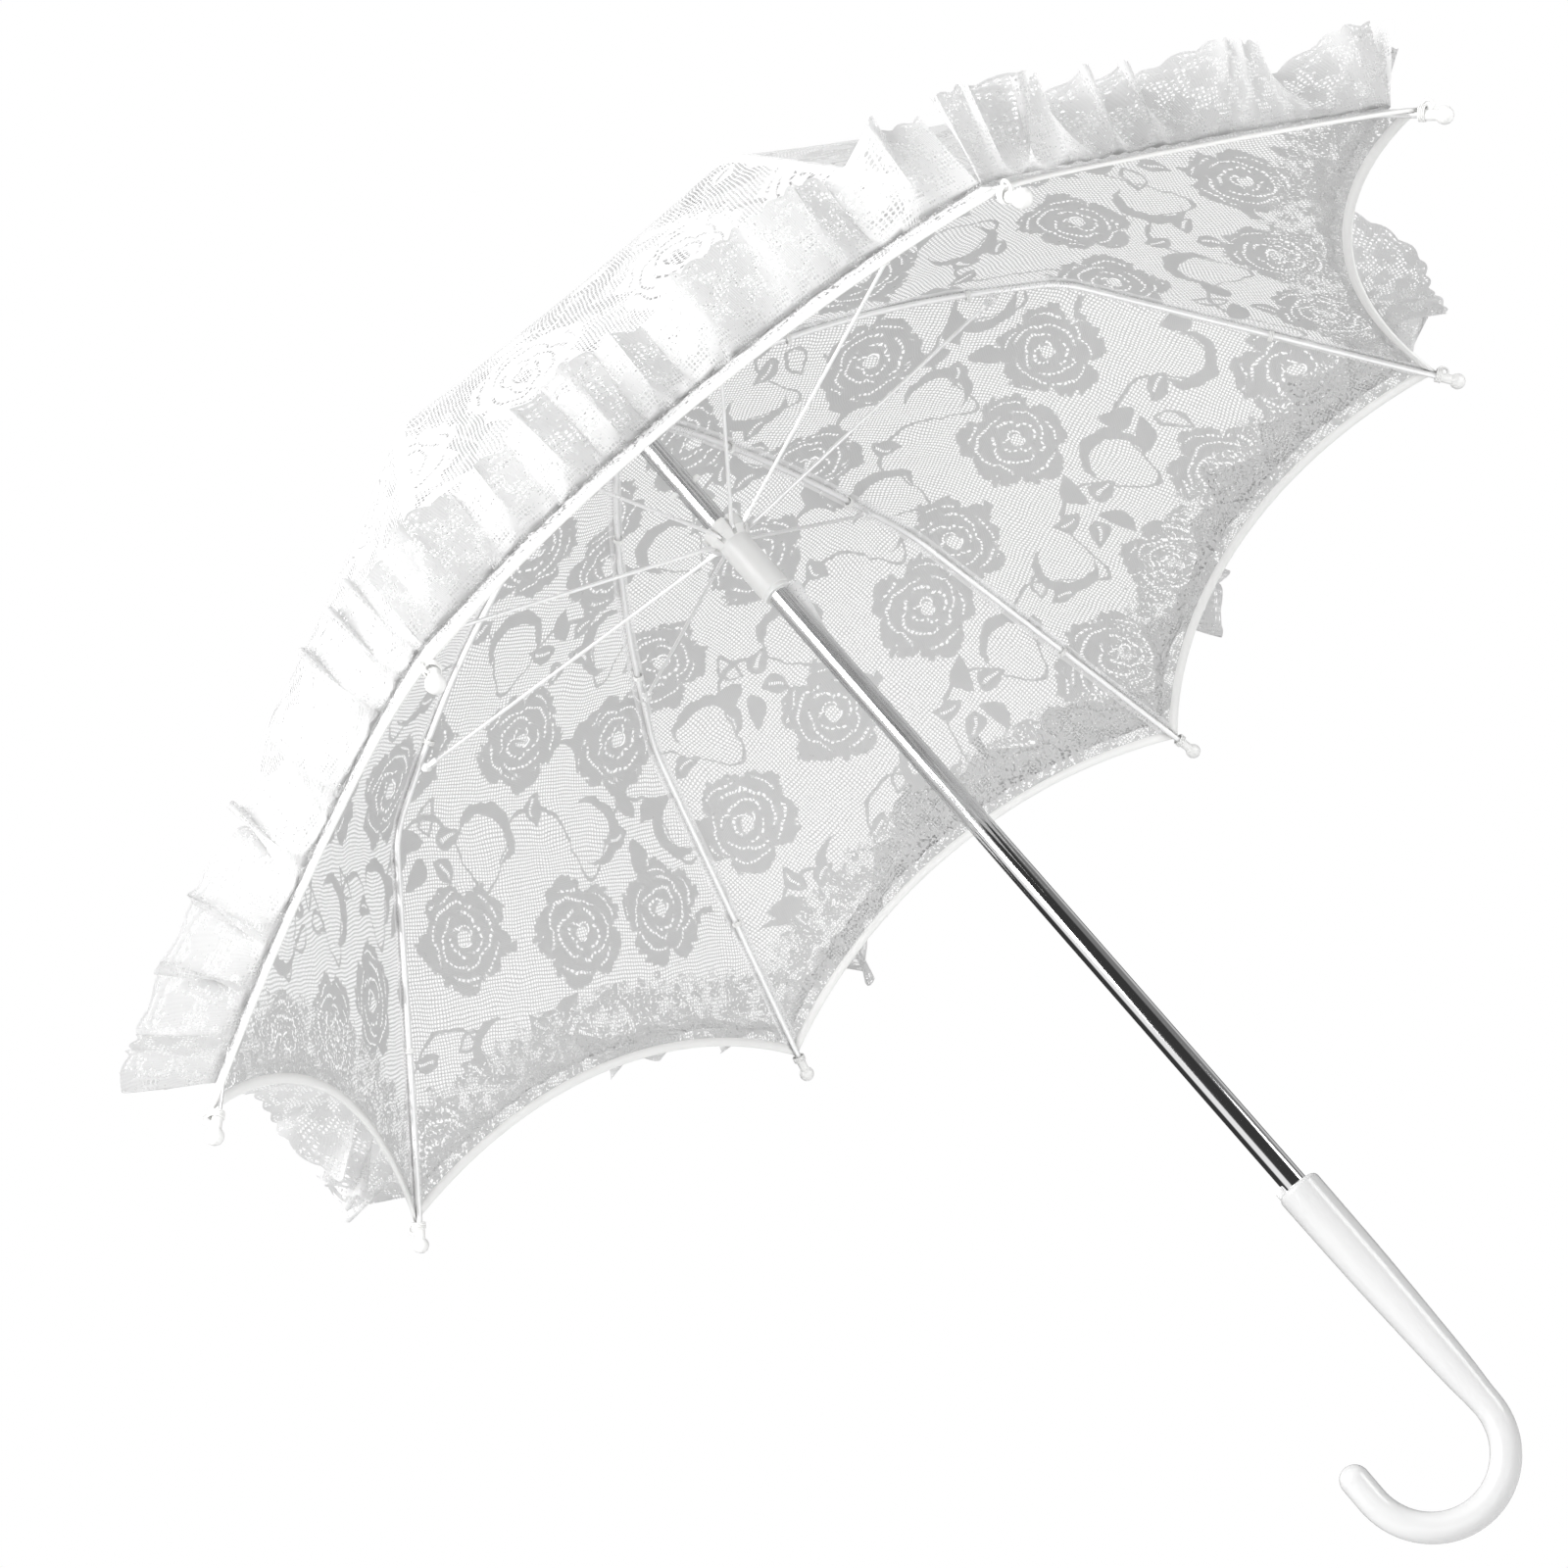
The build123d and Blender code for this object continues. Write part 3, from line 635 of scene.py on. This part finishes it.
def stems(pattern, ragged, x, y):
    """Curling stems, thicker in the middle of each curl, and the thin shoots that join them."""
    width, height = LATTICE_MM[0] / 2, LATTICE_MM[1]
    cx = ((x / width - 0.5).round() + 0.5) * width
    cy = ((y / height - 0.75).round() + 0.75) * height
    away = pattern.length(x - cx, y - cy)
    spin = pattern.chance((cx / 5).round(), (cy / 5).round(), seed=11.0) * (2 * pi)
    turn = (pattern.math("ARCTAN2", y - cy, x - cx) + spin).cos()
    curl = (away - CURL_MM - turn * 3).size() - turn * 2.6 - ragged * 2
    wander = (y * (2 * pi / height)).sin() * 17 + (y * (4 * pi / height)).cos() * 4
    shoot = (x - cx - wander).size() - 0.3
    half_mm = 0.65
    return pattern.below(curl.least(shoot), half_mm, EDGE_MM)


def border(pattern, u, v, from_hem):
    """(solid, openwork) of the dense small sprigs that run along the hem."""
    place = pattern.vector(u, v, 20.0)
    patch, speck = pattern.noise(place, 0.16, 2.0), pattern.noise(place, 0.75, 3.0)
    zone = pattern.below(from_hem + patch * BORDER_RAGGED_MM, BORDER_MM, 1.0)
    dx, dy, cx, cy = nearest_centre(pattern, u, v, *FLORETS_MM)
    turn = pattern.math("ARCTAN2", dy, dx) + pattern.chance(cx.round(), cy.round(), seed=5.0) * 6
    petals, middle_mm = (turn * 2).cos().size() * 3.2, 1.9
    floret = pattern.below(pattern.length(dx, dy) - petals, middle_mm, EDGE_MM)
    solid = floret.most(pattern.below(0.02 - speck, 0.0, 0.02))
    return solid * zone, pattern.below(0.09 - speck, 0.0, 0.015) * zone


def cut_place(pattern, index):
    """Where a point of a gore lies on the uncut lace, in millimetres, twice: for the net, which is
    slightly stretched, and for the flowers, which are uneven too."""
    x, y = pattern.place("cloth")
    grain = radians(GRAIN_TURN[index - 1])
    u = x * cos(grain) - y * sin(grain) + GORE_SHIFT_MM[0] * index
    v = x * sin(grain) + y * cos(grain) + GORE_SHIFT_MM[1] * index
    place = pattern.vector(u, v, 0.0)
    other = pattern.vector(v, u, 50.0)
    u = u + pattern.noise(place, 0.03) * NET_STRETCH_MM
    v = v + pattern.noise(other, 0.03) * NET_STRETCH_MM
    flower_u = u + pattern.noise(place, 0.13, 3.0) * FLOWER_STRETCH_MM
    flower_v = v + pattern.noise(other, 0.13, 3.0) * FLOWER_STRETCH_MM
    return u, v, flower_u, flower_v


def new_material(name):
    """A material, the pattern builder on its nodes, and its shader."""
    material = bpy.data.materials.new(name)
    material.use_nodes = True
    pattern = Pattern(material)
    return material, pattern, material.node_tree.nodes["Principled BSDF"]


def set_cloth(pattern, shader, alpha, solid, x, y, doubled_and_painted_light):
    """Colour, gloss and relief of lace: dense satin stitches over thin net threads. One layer is greyer than
    white cloth, as if light passed through it, and cloth in two layers is whiter. Given all over a piece, the
    same whiter tone is painted light that lifts a shaded side."""
    satin = (x * (2 * pi / STITCH_MM) + y * 1.5).sin() * solid
    relief = solid * 0.6 + satin * 0.12
    bump = pattern.node("ShaderNodeBump")
    bump.inputs["Strength"].default_value = 0.5
    bump.inputs["Distance"].default_value = 0.35 * MM
    pattern.put(bump.inputs["Height"], relief)
    pattern.tree.links.new(bump.outputs[0], shader.inputs["Normal"])
    tone = NET_TONE - solid * SATIN_DARKER + satin * 0.012 + doubled_and_painted_light * DOUBLED_AND_PAINTED_LIGHTER
    colour = pattern.node("ShaderNodeCombineColor")
    for socket in colour.inputs:
        pattern.put(socket, tone)
    pattern.tree.links.new(colour.outputs[0], shader.inputs["Base Color"])
    pattern.put(shader.inputs["Roughness"], 0.72 - solid * 0.17)
    shader.inputs["Sheen Weight"].default_value = 0.25
    shader.inputs["Sheen Roughness"].default_value = 0.4
    shader.inputs["Specular IOR Level"].default_value = 0.35
    pattern.put(shader.inputs["Alpha"], alpha)


def canopy_lace(index):
    """Lace of one gore: roses, sprigs and stems on net, a flowered border, seams and a taped hem."""
    material, pattern, shader = new_material(f"canopy_lace_{index}")
    net_x, net_y, x, y = cut_place(pattern, index)
    from_seam, from_hem = pattern.place("edges")
    ragged = pattern.noise(pattern.vector(x, y, 90.0), 0.3, 3.0)
    nearest = nearest_centre(pattern, x, y, *LATTICE_MM, scatter=15.0)
    rose_solid, rose_open = rose(pattern, ragged, *nearest)
    leaf_solid, leaf_open = sprigs(pattern, ragged, x, y)
    flower_solid, flower_open = border(pattern, net_x, net_y, from_hem)
    solid = rose_solid.most(leaf_solid).most(stems(pattern, ragged, x, y)).most(flower_solid)
    holes = net_holes(pattern, net_x, net_y, NET_MM, 0.6) * (1 - solid)
    holes = holes.most(rose_open).most(leaf_open * (1 - rose_solid)).most(flower_open)
    seam = pattern.below(from_seam, SEAM_MM, 0.2)
    tape = pattern.below(from_hem, HEM_TAPE / MM, EDGE_MM)
    holes = holes * (1 - seam * 0.6) * (1 - tape * 0.93)
    set_cloth(pattern, shader, 1 - holes, solid, net_x, net_y, seam.most(tape))
    return material


def frill_lace():
    """Lace of the frill: net with small flowers and a close speckle, and a wavy line along its edges. It lets
    light through to its far side, and all of it has the whiter tone of cloth in two layers: painted light that
    lifts its shaded underside."""
    material, pattern, shader = new_material("frill_lace")
    x, y = pattern.place("cloth")
    _, from_edge = pattern.place("edges")
    speck = pattern.noise(pattern.vector(x, y, 0.0), 0.8, 3.0)
    dx, dy = nearest_centre(pattern, x, y, 2 * SCALLOP_PITCH / MM, 15.0)[:2]
    turn = pattern.math("ARCTAN2", dy, dx)
    petals, middle_mm = (turn * 2.5).cos().size() * 2.4, 2.6
    flower = pattern.below(pattern.length(dx, dy) - petals, middle_mm, EDGE_MM)
    wave = (x * (pi / (SCALLOP_PITCH / MM))).cos().size() * 2
    line_place_mm, line_half_mm = 4.2, 0.7
    wavy = (from_edge - line_place_mm + wave).size()
    lines = pattern.below(wavy.least(from_edge), line_half_mm, EDGE_MM)
    solid = flower.most(lines).most(pattern.below(0.05 - speck, 0.0, 0.02))
    holes = net_holes(pattern, x, y, NET_MM, 0.5) * (1 - solid)
    holes = holes.most(pattern.below(0.16 - speck, 0.0, 0.02))
    # Whiter all over, as if in two layers: painted light for the frill's shaded underside.
    set_cloth(pattern, shader, 1 - holes, solid, x, y, 1.0)
    through = pattern.node("ShaderNodeBsdfTranslucent")
    through.inputs["Color"].default_value = (0.85, 0.85, 0.85, 1)
    both = pattern.node("ShaderNodeMixShader")
    output = material.node_tree.nodes["Material Output"]
    pattern.put(both.inputs["Fac"], (1 - holes) * 0.5)
    pattern.tree.links.new(shader.outputs[0], both.inputs[1])
    pattern.tree.links.new(through.outputs[0], both.inputs[2])
    pattern.tree.links.new(both.outputs[0], output.inputs["Surface"])
    return material


def relief_material(name, colour, roughness, metallic=0.0, grain=0.05, grain_scale=400.0, coat=0.0):
    """A moulded or drawn material: fine noise in its gloss, colour and surface."""
    material, pattern, shader = new_material(name)
    where = pattern.node("ShaderNodeTexCoord")
    place = Value(pattern, where.outputs["Object"])
    fine = pattern.noise(place, grain_scale, 4.0)
    broad = pattern.noise(place, 35.0, 2.0)
    pattern.put(shader.inputs["Roughness"], roughness + fine * grain + broad * grain)
    mix = pattern.node("ShaderNodeCombineColor")
    for socket, tint in zip(mix.inputs, colour):
        pattern.put(socket, tint + broad * 0.02)
    pattern.tree.links.new(mix.outputs[0], shader.inputs["Base Color"])
    bump = pattern.node("ShaderNodeBump")
    bump.inputs["Strength"].default_value = 0.1
    bump.inputs["Distance"].default_value = 0.01 * MM
    pattern.put(bump.inputs["Height"], fine)
    pattern.tree.links.new(bump.outputs[0], shader.inputs["Normal"])
    shader.inputs["Metallic"].default_value = metallic
    shader.inputs["Coat Weight"].default_value = coat
    shader.inputs["Coat Roughness"].default_value = 0.04
    return material


def translucent(material, depth):
    """Lets light into a moulded material."""
    shader = material.node_tree.nodes["Principled BSDF"]
    shader.inputs["Subsurface Weight"].default_value = 0.6
    shader.inputs["Subsurface Radius"].default_value = (depth, depth, depth)
    shader.inputs["Subsurface Scale"].default_value = 1.0


# ---------------------------------------------------------------- canopy and frill

def soft_on_gore(piece, body, index, material):
    """The piece takes its material and moves with its part of the gore."""
    piece.data.materials.append(material)
    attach(piece, f"{body}_{index}")
    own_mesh(piece)


def gore_area(grid):
    """Area of a grid of points, in square metres."""
    a, b = grid[1:, 1:] - grid[:-1, :-1], grid[1:, :-1] - grid[:-1, 1:]
    return float(np.linalg.norm(np.cross(a, b), axis=2).sum() / 2)


def make_gore(index, part, body, material):
    """One lace sheet of a gore, with its flat size, its area and the ribs that hold it."""
    grid, cut, edges = gore_surface(part)
    piece = sheet_mesh(f"lace_{part}_{index}", grid, cut, edges, STEP * index)
    soft_on_gore(piece, body, index, material)
    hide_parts(f"canopy_{part}_{index}")
    flat = tuple(float(np.ptp(cut[..., i])) * MM for i in (0, 1))
    held_by = [f"rib_wire_{index}", f"rib_wire_{index % RIBS + 1}"]
    return piece, flat, gore_area(grid), held_by


def random_waves(random, spread, waves, q, fade=0):
    """A smooth random variation along a seam, nothing at its ends. Shorter waves may be weaker."""
    return sum(random.uniform(-spread, spread) / m ** fade * np.sin(pi * m * q)
               for m in range(1, waves + 1))


def frill_steps():
    """Distances of the frill's rows from its seam."""
    return np.linspace(-FRILL_HEADING, FRILL_WIDTH, FRILL_ROWS)


def frill_grid(index):
    """Points of one gore's frill: gathered at its seam, in rounded folds that grow to the edge."""
    random = np.random.default_rng(100 + index)
    shares = np.linspace(-1, 1, FRILL_COLUMNS)
    at_seam = np.array([lower_point(s, hem_drop(s, FRILL_SETBACK), 0.6 * MM) for s in shares])
    along = lengths(at_seam)
    q = along / along[-1]
    drift = random_waves(random, FOLD_DRIFT, 6, q, fade=1)
    phase = 2 * pi * (FRILL_FOLDS * q + drift)
    depth = 1 + random_waves(random, FOLD_UNEVEN, 9, q)
    tilt = random_waves(random, TILT_UNEVEN, 7, q)
    for place, width in FRILL_DROOPS.get(index, ()):
        tilt = tilt - DROOP_TURN * np.exp(-((q - place) / width) ** 2)
    cut_x = q * along[-1] * FRILL_GATHER
    scallop = SCALLOP_DEPTH * np.abs(np.sin(pi * cut_x / SCALLOP_PITCH))
    rows = []
    for step in frill_steps():
        share = abs(step) / FRILL_WIDTH
        reach = step + (scallop * share ** 3 if step > 0 else 0)
        fold = FRILL_FOLD_DEPTH * share ** 0.75 * depth
        crimp = FRILL_CRIMP * np.sin(3 * phase + 1) * np.sin(pi * q) * np.exp(-abs(step) / (7 * MM))
        row = []
        for i, s in enumerate(shares):
            flare = radians(FRILL_FLARE[index - 1] + tilt[i] if step > 0 else HEADING_FLARE)
            out_way = DOWN * cos(flare) + OUT * sin(flare)
            face = OUT * cos(flare) - DOWN * sin(flare)
            span = reach[i] if step > 0 else -step
            flat = out_way * span + face * (fold[i] * sin(phase[i]) + crimp[i])
            sway = 0.45 * fold[i] * sin(2 * phase[i])
            row.append(at_seam[i] + [flat[0], s * flat[0] * SIDEWAYS + sway, flat[1]])
        rows.append(row)
    return np.array(rows), cut_x


def make_frill(index, material):
    """The gathered lace strip sewn on inside the hem of one gore."""
    grid, cut_x = frill_grid(index)
    steps = frill_steps()
    cut = np.stack(np.meshgrid(cut_x, steps), 2) / MM
    edge = (np.minimum(FRILL_WIDTH - steps, steps + FRILL_HEADING)[:, None] + 0 * cut_x) / MM
    edges = np.stack([np.zeros_like(edge), edge], 2)
    piece = sheet_mesh(f"frill_{index}", grid, cut, edges, STEP * index)
    soft_on_gore(piece, "gore_hem", index, material)


def make_hem(index, material):
    """The folded tape over the hem: a thin closed band that is thickest along its outer edge."""
    past_hem, bead, seam_gap = 0.6 * MM, 0.5 * MM, 0.999
    rings = []
    for s in np.linspace(-1, 1, HEM_COLUMNS):
        low, high = hem_drop(s, -past_hem), hem_drop(s, HEM_TAPE)
        corners = [(low, -TAPE_HALF), (low - bead, -2 * TAPE_HALF), (high, -TAPE_HALF), (high, TAPE_HALF),
                   (low - bead, 2 * TAPE_HALF), (low, TAPE_HALF)]
        rings.append([lower_point(s * seam_gap, drop, lift) for drop, lift in corners])
    solid = Solid()
    solid.add_rings(rings)
    piece = solid.piece(f"hem_tape_{index}", STEP * index)
    soft_on_gore(piece, "gore_hem", index, material)
    return piece


def make_rosette(material):
    """The small gathered lace disc around the cap."""
    low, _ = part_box("crown_rosette")
    width = ROSETTE_OUTER - ROSETTE_INNER
    grid = []
    for r in np.linspace(ROSETTE_INNER, ROSETTE_OUTER, ROSETTE_ROWS):
        rise = (r - ROSETTE_INNER) / width
        ring = []
        for i in range(ROSETTE_COLUMNS + 1):
            a = 2 * pi * i / ROSETTE_COLUMNS
            height = 0.9 * sin(ROSETTE_FOLDS * a) + 0.7 + 0.4 * sin(7 * a)
            z = low[2] + 0.4 * MM + rise * height * MM
            edge = r + rise ** 3 * SCALLOP_DEPTH * 0.5 * abs(sin(ROSETTE_FOLDS / 2 * a))
            ring.append([edge * cos(a), edge * sin(a), z])
        grid.append(ring)
    around = np.linspace(0, 2 * pi * 18, ROSETTE_COLUMNS + 1)
    steps = np.linspace(0, width / MM, ROSETTE_ROWS)
    cut = np.stack(np.meshgrid(around, steps), 2)
    edges = np.stack([0 * cut[..., 0], steps[-1] - cut[..., 1]], 2)
    piece = sheet_mesh("lace_rosette", np.array(grid), cut, edges, 0)
    piece.data.materials.append(material)
    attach(piece, "root")
    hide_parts("crown_rosette")


# ---------------------------------------------------------------- ribs

def make_rib(index, material):
    """One sprung wire from the crown to its tip, with its eye and the lug of its stretcher."""
    path = rib_path(BEND_RADIUS, 2 * PATH_STEP)
    reach = lengths(path)
    flat_end = np.clip((reach - 4 * MM) / (4 * MM), 0, 1)
    thick = EYE_NECK + (RIB_WIRE - EYE_NECK) * flat_end
    keep = (reach > 1.2 * MM) & (reach < reach[-1] - 1.5 * MM)
    wire = np.stack([path[:, 0], 0 * reach, path[:, 1]], 1)[keep]
    solid = Solid()
    solid.add_wire(wire, RIB_WIRE, thick[keep], sides=12)
    solid.add_washer(CROWN, EYE_OUTER, CROWN_HOLE, EYE_THICK)
    solid.add_washer(RIVET, EYE_OUTER, RIVET_HOLE, EYE_THICK)
    neck = np.array([WIRE_JOINT, RIVET + (WIRE_JOINT - RIVET) * 0.35])
    neck = sample(neck, np.linspace(0, lengths(neck)[-1], 5))
    solid.add_wire(np.stack([neck[:, 0], 0 * neck[:, 0], neck[:, 1]], 1), 1.7 * MM, 0.55 * MM, sides=12)
    piece = solid.piece(f"rib_wire_{index}", rib_azimuth(index))
    piece.data.materials.append(material)
    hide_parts(f"rib_inner_{index}", f"rib_outer_{index}")
    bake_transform(piece)


def thread_loop(solid, centre, slope, radius, turns=3):
    """A few turns of sewing thread around a wire, a little longer than wide and hung below it."""
    count = 24
    across = np.array([0, 1.0, 0])
    along = np.array([heading(slope)[0], 0, heading(slope)[1]])
    down = np.cross(across, along)
    middle = np.array([centre[0], 0, centre[1]])
    for turn in range(turns):
        shift = along * (turn - (turns - 1) / 2) * 2 * THREAD
        ring = []
        for i in range(count):
            a = 2 * pi * i / count
            offset = across * radius * cos(a) - down * (radius * 1.1 * sin(a) - 0.3 * radius)
            ring.append(middle + shift + offset)
        solid.add_wire(np.array(ring), THREAD, sides=6, loop=True)


def make_threads(index, material):
    """The thread that ties the cloth to a rib at three places and at its tip."""
    path = rib_path(BEND_RADIUS)
    for body, places in TIE_PLACES.items():
        solid = Solid()
        for place in places:
            i = int(place * len(path))
            thread_loop(solid, path[i], slope_of(path[i + 1] - path[i - 1]), RIB_WIRE + 0.75 * MM)
        if body == "rib_end":
            along = heading(OUTER_SLOPE)
            corner = TIP - along * 8.6 * MM + heading(OUTER_SLOPE + 90) * 1.4 * MM
            thread_loop(solid, corner, OUTER_SLOPE, 2.7 * MM, turns=4)
        piece = solid.piece(f"thread_{body}_{index}", rib_azimuth(index))
        piece.data.materials.append(material)
        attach(piece, f"{body}_{index}")


# ---------------------------------------------------------------- everything

def finish_nodes():
    """Better materials for the frame's own parts. The ribs share the wire's, so it is returned."""
    white = relief_material("white_gloss", (0.62, 0.62, 0.62), 0.25, grain=0.04, coat=0.3)
    ball = relief_material("tip_plastic", (0.86, 0.86, 0.85), 0.3, grain=0.05, coat=0.2)
    sleeve = relief_material("runner_plastic", (0.8, 0.8, 0.79), 0.3, grain=0.06)
    translucent(sleeve, 4 * MM)
    clear = relief_material("clear_plastic", (0.85, 0.85, 0.85), 0.15, grain=0.04)
    translucent(clear, 6 * MM)
    crown = relief_material("crown_plastic", (0.82, 0.82, 0.81), 0.45, grain=0.08)
    chrome = relief_material("shaft_chrome", (0.88, 0.88, 0.885), 0.07, metallic=1.0, grain=0.03,
                             grain_scale=900.0)
    wire = relief_material("frame_wire", (0.94, 0.94, 0.94), 0.3, metallic=0.5, grain=0.1,
                           grain_scale=1500.0)
    finishes = {"handle": white, "ferrule": white, "shaft_key": clear, "runner": sleeve,
                "crown_notch": crown, "shaft_tube": chrome, "stop_pin": ball, "spring_catch": wire,
                "catch_rivet": wire, "crown_ring_wire": wire}
    for index in range(1, RIBS + 1):
        finishes[f"rib_tip_{index}"] = ball
        finishes[f"stretcher_{index}"] = wire
    for name, material in finishes.items():
        node = frame["nodes"][name]
        for slot in node.material_slots:
            slot.material = material
    return wire


def build_parasol():
    """The whole parasol: finishes for the frame's own parts, then each rib with its gore, then the rosette."""
    wire = finish_nodes()
    tape = relief_material("hem_tape", (0.88, 0.88, 0.87), 0.7, grain=0.1, grain_scale=1800.0)
    frill = frill_lace()
    for index in range(1, RIBS + 1):
        lace = canopy_lace(index)
        make_rib(index, wire)
        make_threads(index, tape)
        upper, flat, area, held_by = make_gore(index, "inner", "gore", lace)
        lower, flat, area, held_by = make_gore(index, "outer", "gore_hem", lace)
        hem = make_hem(index, tape)
        make_frill(index, frill)
    make_rosette(frill)


def make_floor():
    """A wide pale floor, well below the parasol, which is held in the air."""
    signs = ((-1, -1), (1, -1), (1, 1), (-1, 1))
    corners = [(x * FLOOR_HALF, y * FLOOR_HALF, FLOOR_Z) for x, y in signs]
    floor = new_mesh("floor", corners, [(0, 1, 2, 3)])
    pale = relief_material("pale_floor", (0.87, 0.87, 0.87), 0.8, grain_scale=60.0)
    floor.data.materials.append(pale)


def add_lamp(name, kind, power, place):
    """A lamp in the scene, and its light."""
    light = bpy.data.lights.new(name, kind)
    light.energy = power
    lamp = bpy.data.objects.new(name, light)
    lamp.location = place
    bpy.context.scene.collection.objects.link(lamp)
    return lamp, light


def make_light():
    """A white surround, darker where bright metal should mirror something, a soft light above and a
    smaller one at the side."""
    world = bpy.data.worlds.new("studio")
    bpy.context.scene.world = world
    world.use_nodes = True
    tree = world.node_tree
    back = tree.nodes["Background"]
    output = tree.nodes["World Output"]
    back.inputs["Color"].default_value = (1, 1, 1, 1)
    back.inputs["Strength"].default_value = 1.0
    fill = tree.nodes.new("ShaderNodeBackground")
    fill.inputs["Color"].default_value = (1, 1, 1, 1)
    seen = tree.nodes.new("ShaderNodeLightPath")
    mix = tree.nodes.new("ShaderNodeMixShader")
    pattern = Pattern(world)
    parts = pattern.node("ShaderNodeSeparateXYZ")
    tree.links.new(pattern.node("ShaderNodeTexCoord").outputs["Generated"], parts.inputs[0])
    x, y, z = [Value(pattern, part) for part in parts.outputs]
    azimuth = pattern.math("ARCTAN2", y, x)
    cards = DARKEST
    for middle, half, bright in BRIGHT_CARDS:
        card = pattern.below((azimuth - radians(middle)).size(), radians(half), radians(CARD_EDGE))
        cards = card * bright + cards
    band = pattern.below((z - BAND_MIDDLE).size(), BAND_HALF, BAND_EDGE)
    metal = mixed(1.0, cards, band)
    mirrored = Value(pattern, seen.outputs["Is Glossy Ray"])
    pattern.put(fill.inputs["Strength"], mixed(FILL_STRENGTH, metal, mirrored))
    tree.links.new(seen.outputs["Is Camera Ray"], mix.inputs["Fac"])
    tree.links.new(fill.outputs[0], mix.inputs[1])
    tree.links.new(back.outputs[0], mix.inputs[2])
    tree.links.new(mix.outputs[0], output.inputs["Surface"])
    lamp, key = add_lamp("key", "AREA", KEY_POWER, KEY_PLACE)
    key.shape = "DISK"
    key.size = KEY_SIZE
    aim = Vector(KEY_TARGET) - Vector(KEY_PLACE)
    lamp.rotation_euler = aim.to_track_quat("-Z", "Y").to_euler()
    _, side = add_lamp("side", "POINT", SIDE_POWER, SIDE_PLACE)
    side.shadow_soft_size = SIDE_SIZE


def make_camera():
    """Below the canopy and looking up into it, rolled so that the shaft lies across the picture."""
    data = bpy.data.cameras.new("camera")
    data.lens, data.sensor_width = CAMERA_LENS, SENSOR_WIDTH
    camera = bpy.data.objects.new("camera", data)
    turn = Matrix.Rotation(radians(CAMERA_TURN), 4, "Z")
    tilt = Matrix.Rotation(radians(90 + CAMERA_TILT), 4, "X")
    roll = Matrix.Rotation(radians(CAMERA_ROLL), 4, "Z")
    camera.matrix_world = Matrix.Translation(CAMERA_PLACE) @ turn @ tilt @ roll
    bpy.context.scene.collection.objects.link(camera)
    bpy.context.scene.camera = camera


make_camera()
make_floor()
make_light()
build_parasol()
bpy.context.scene.view_settings.view_transform = "Standard"
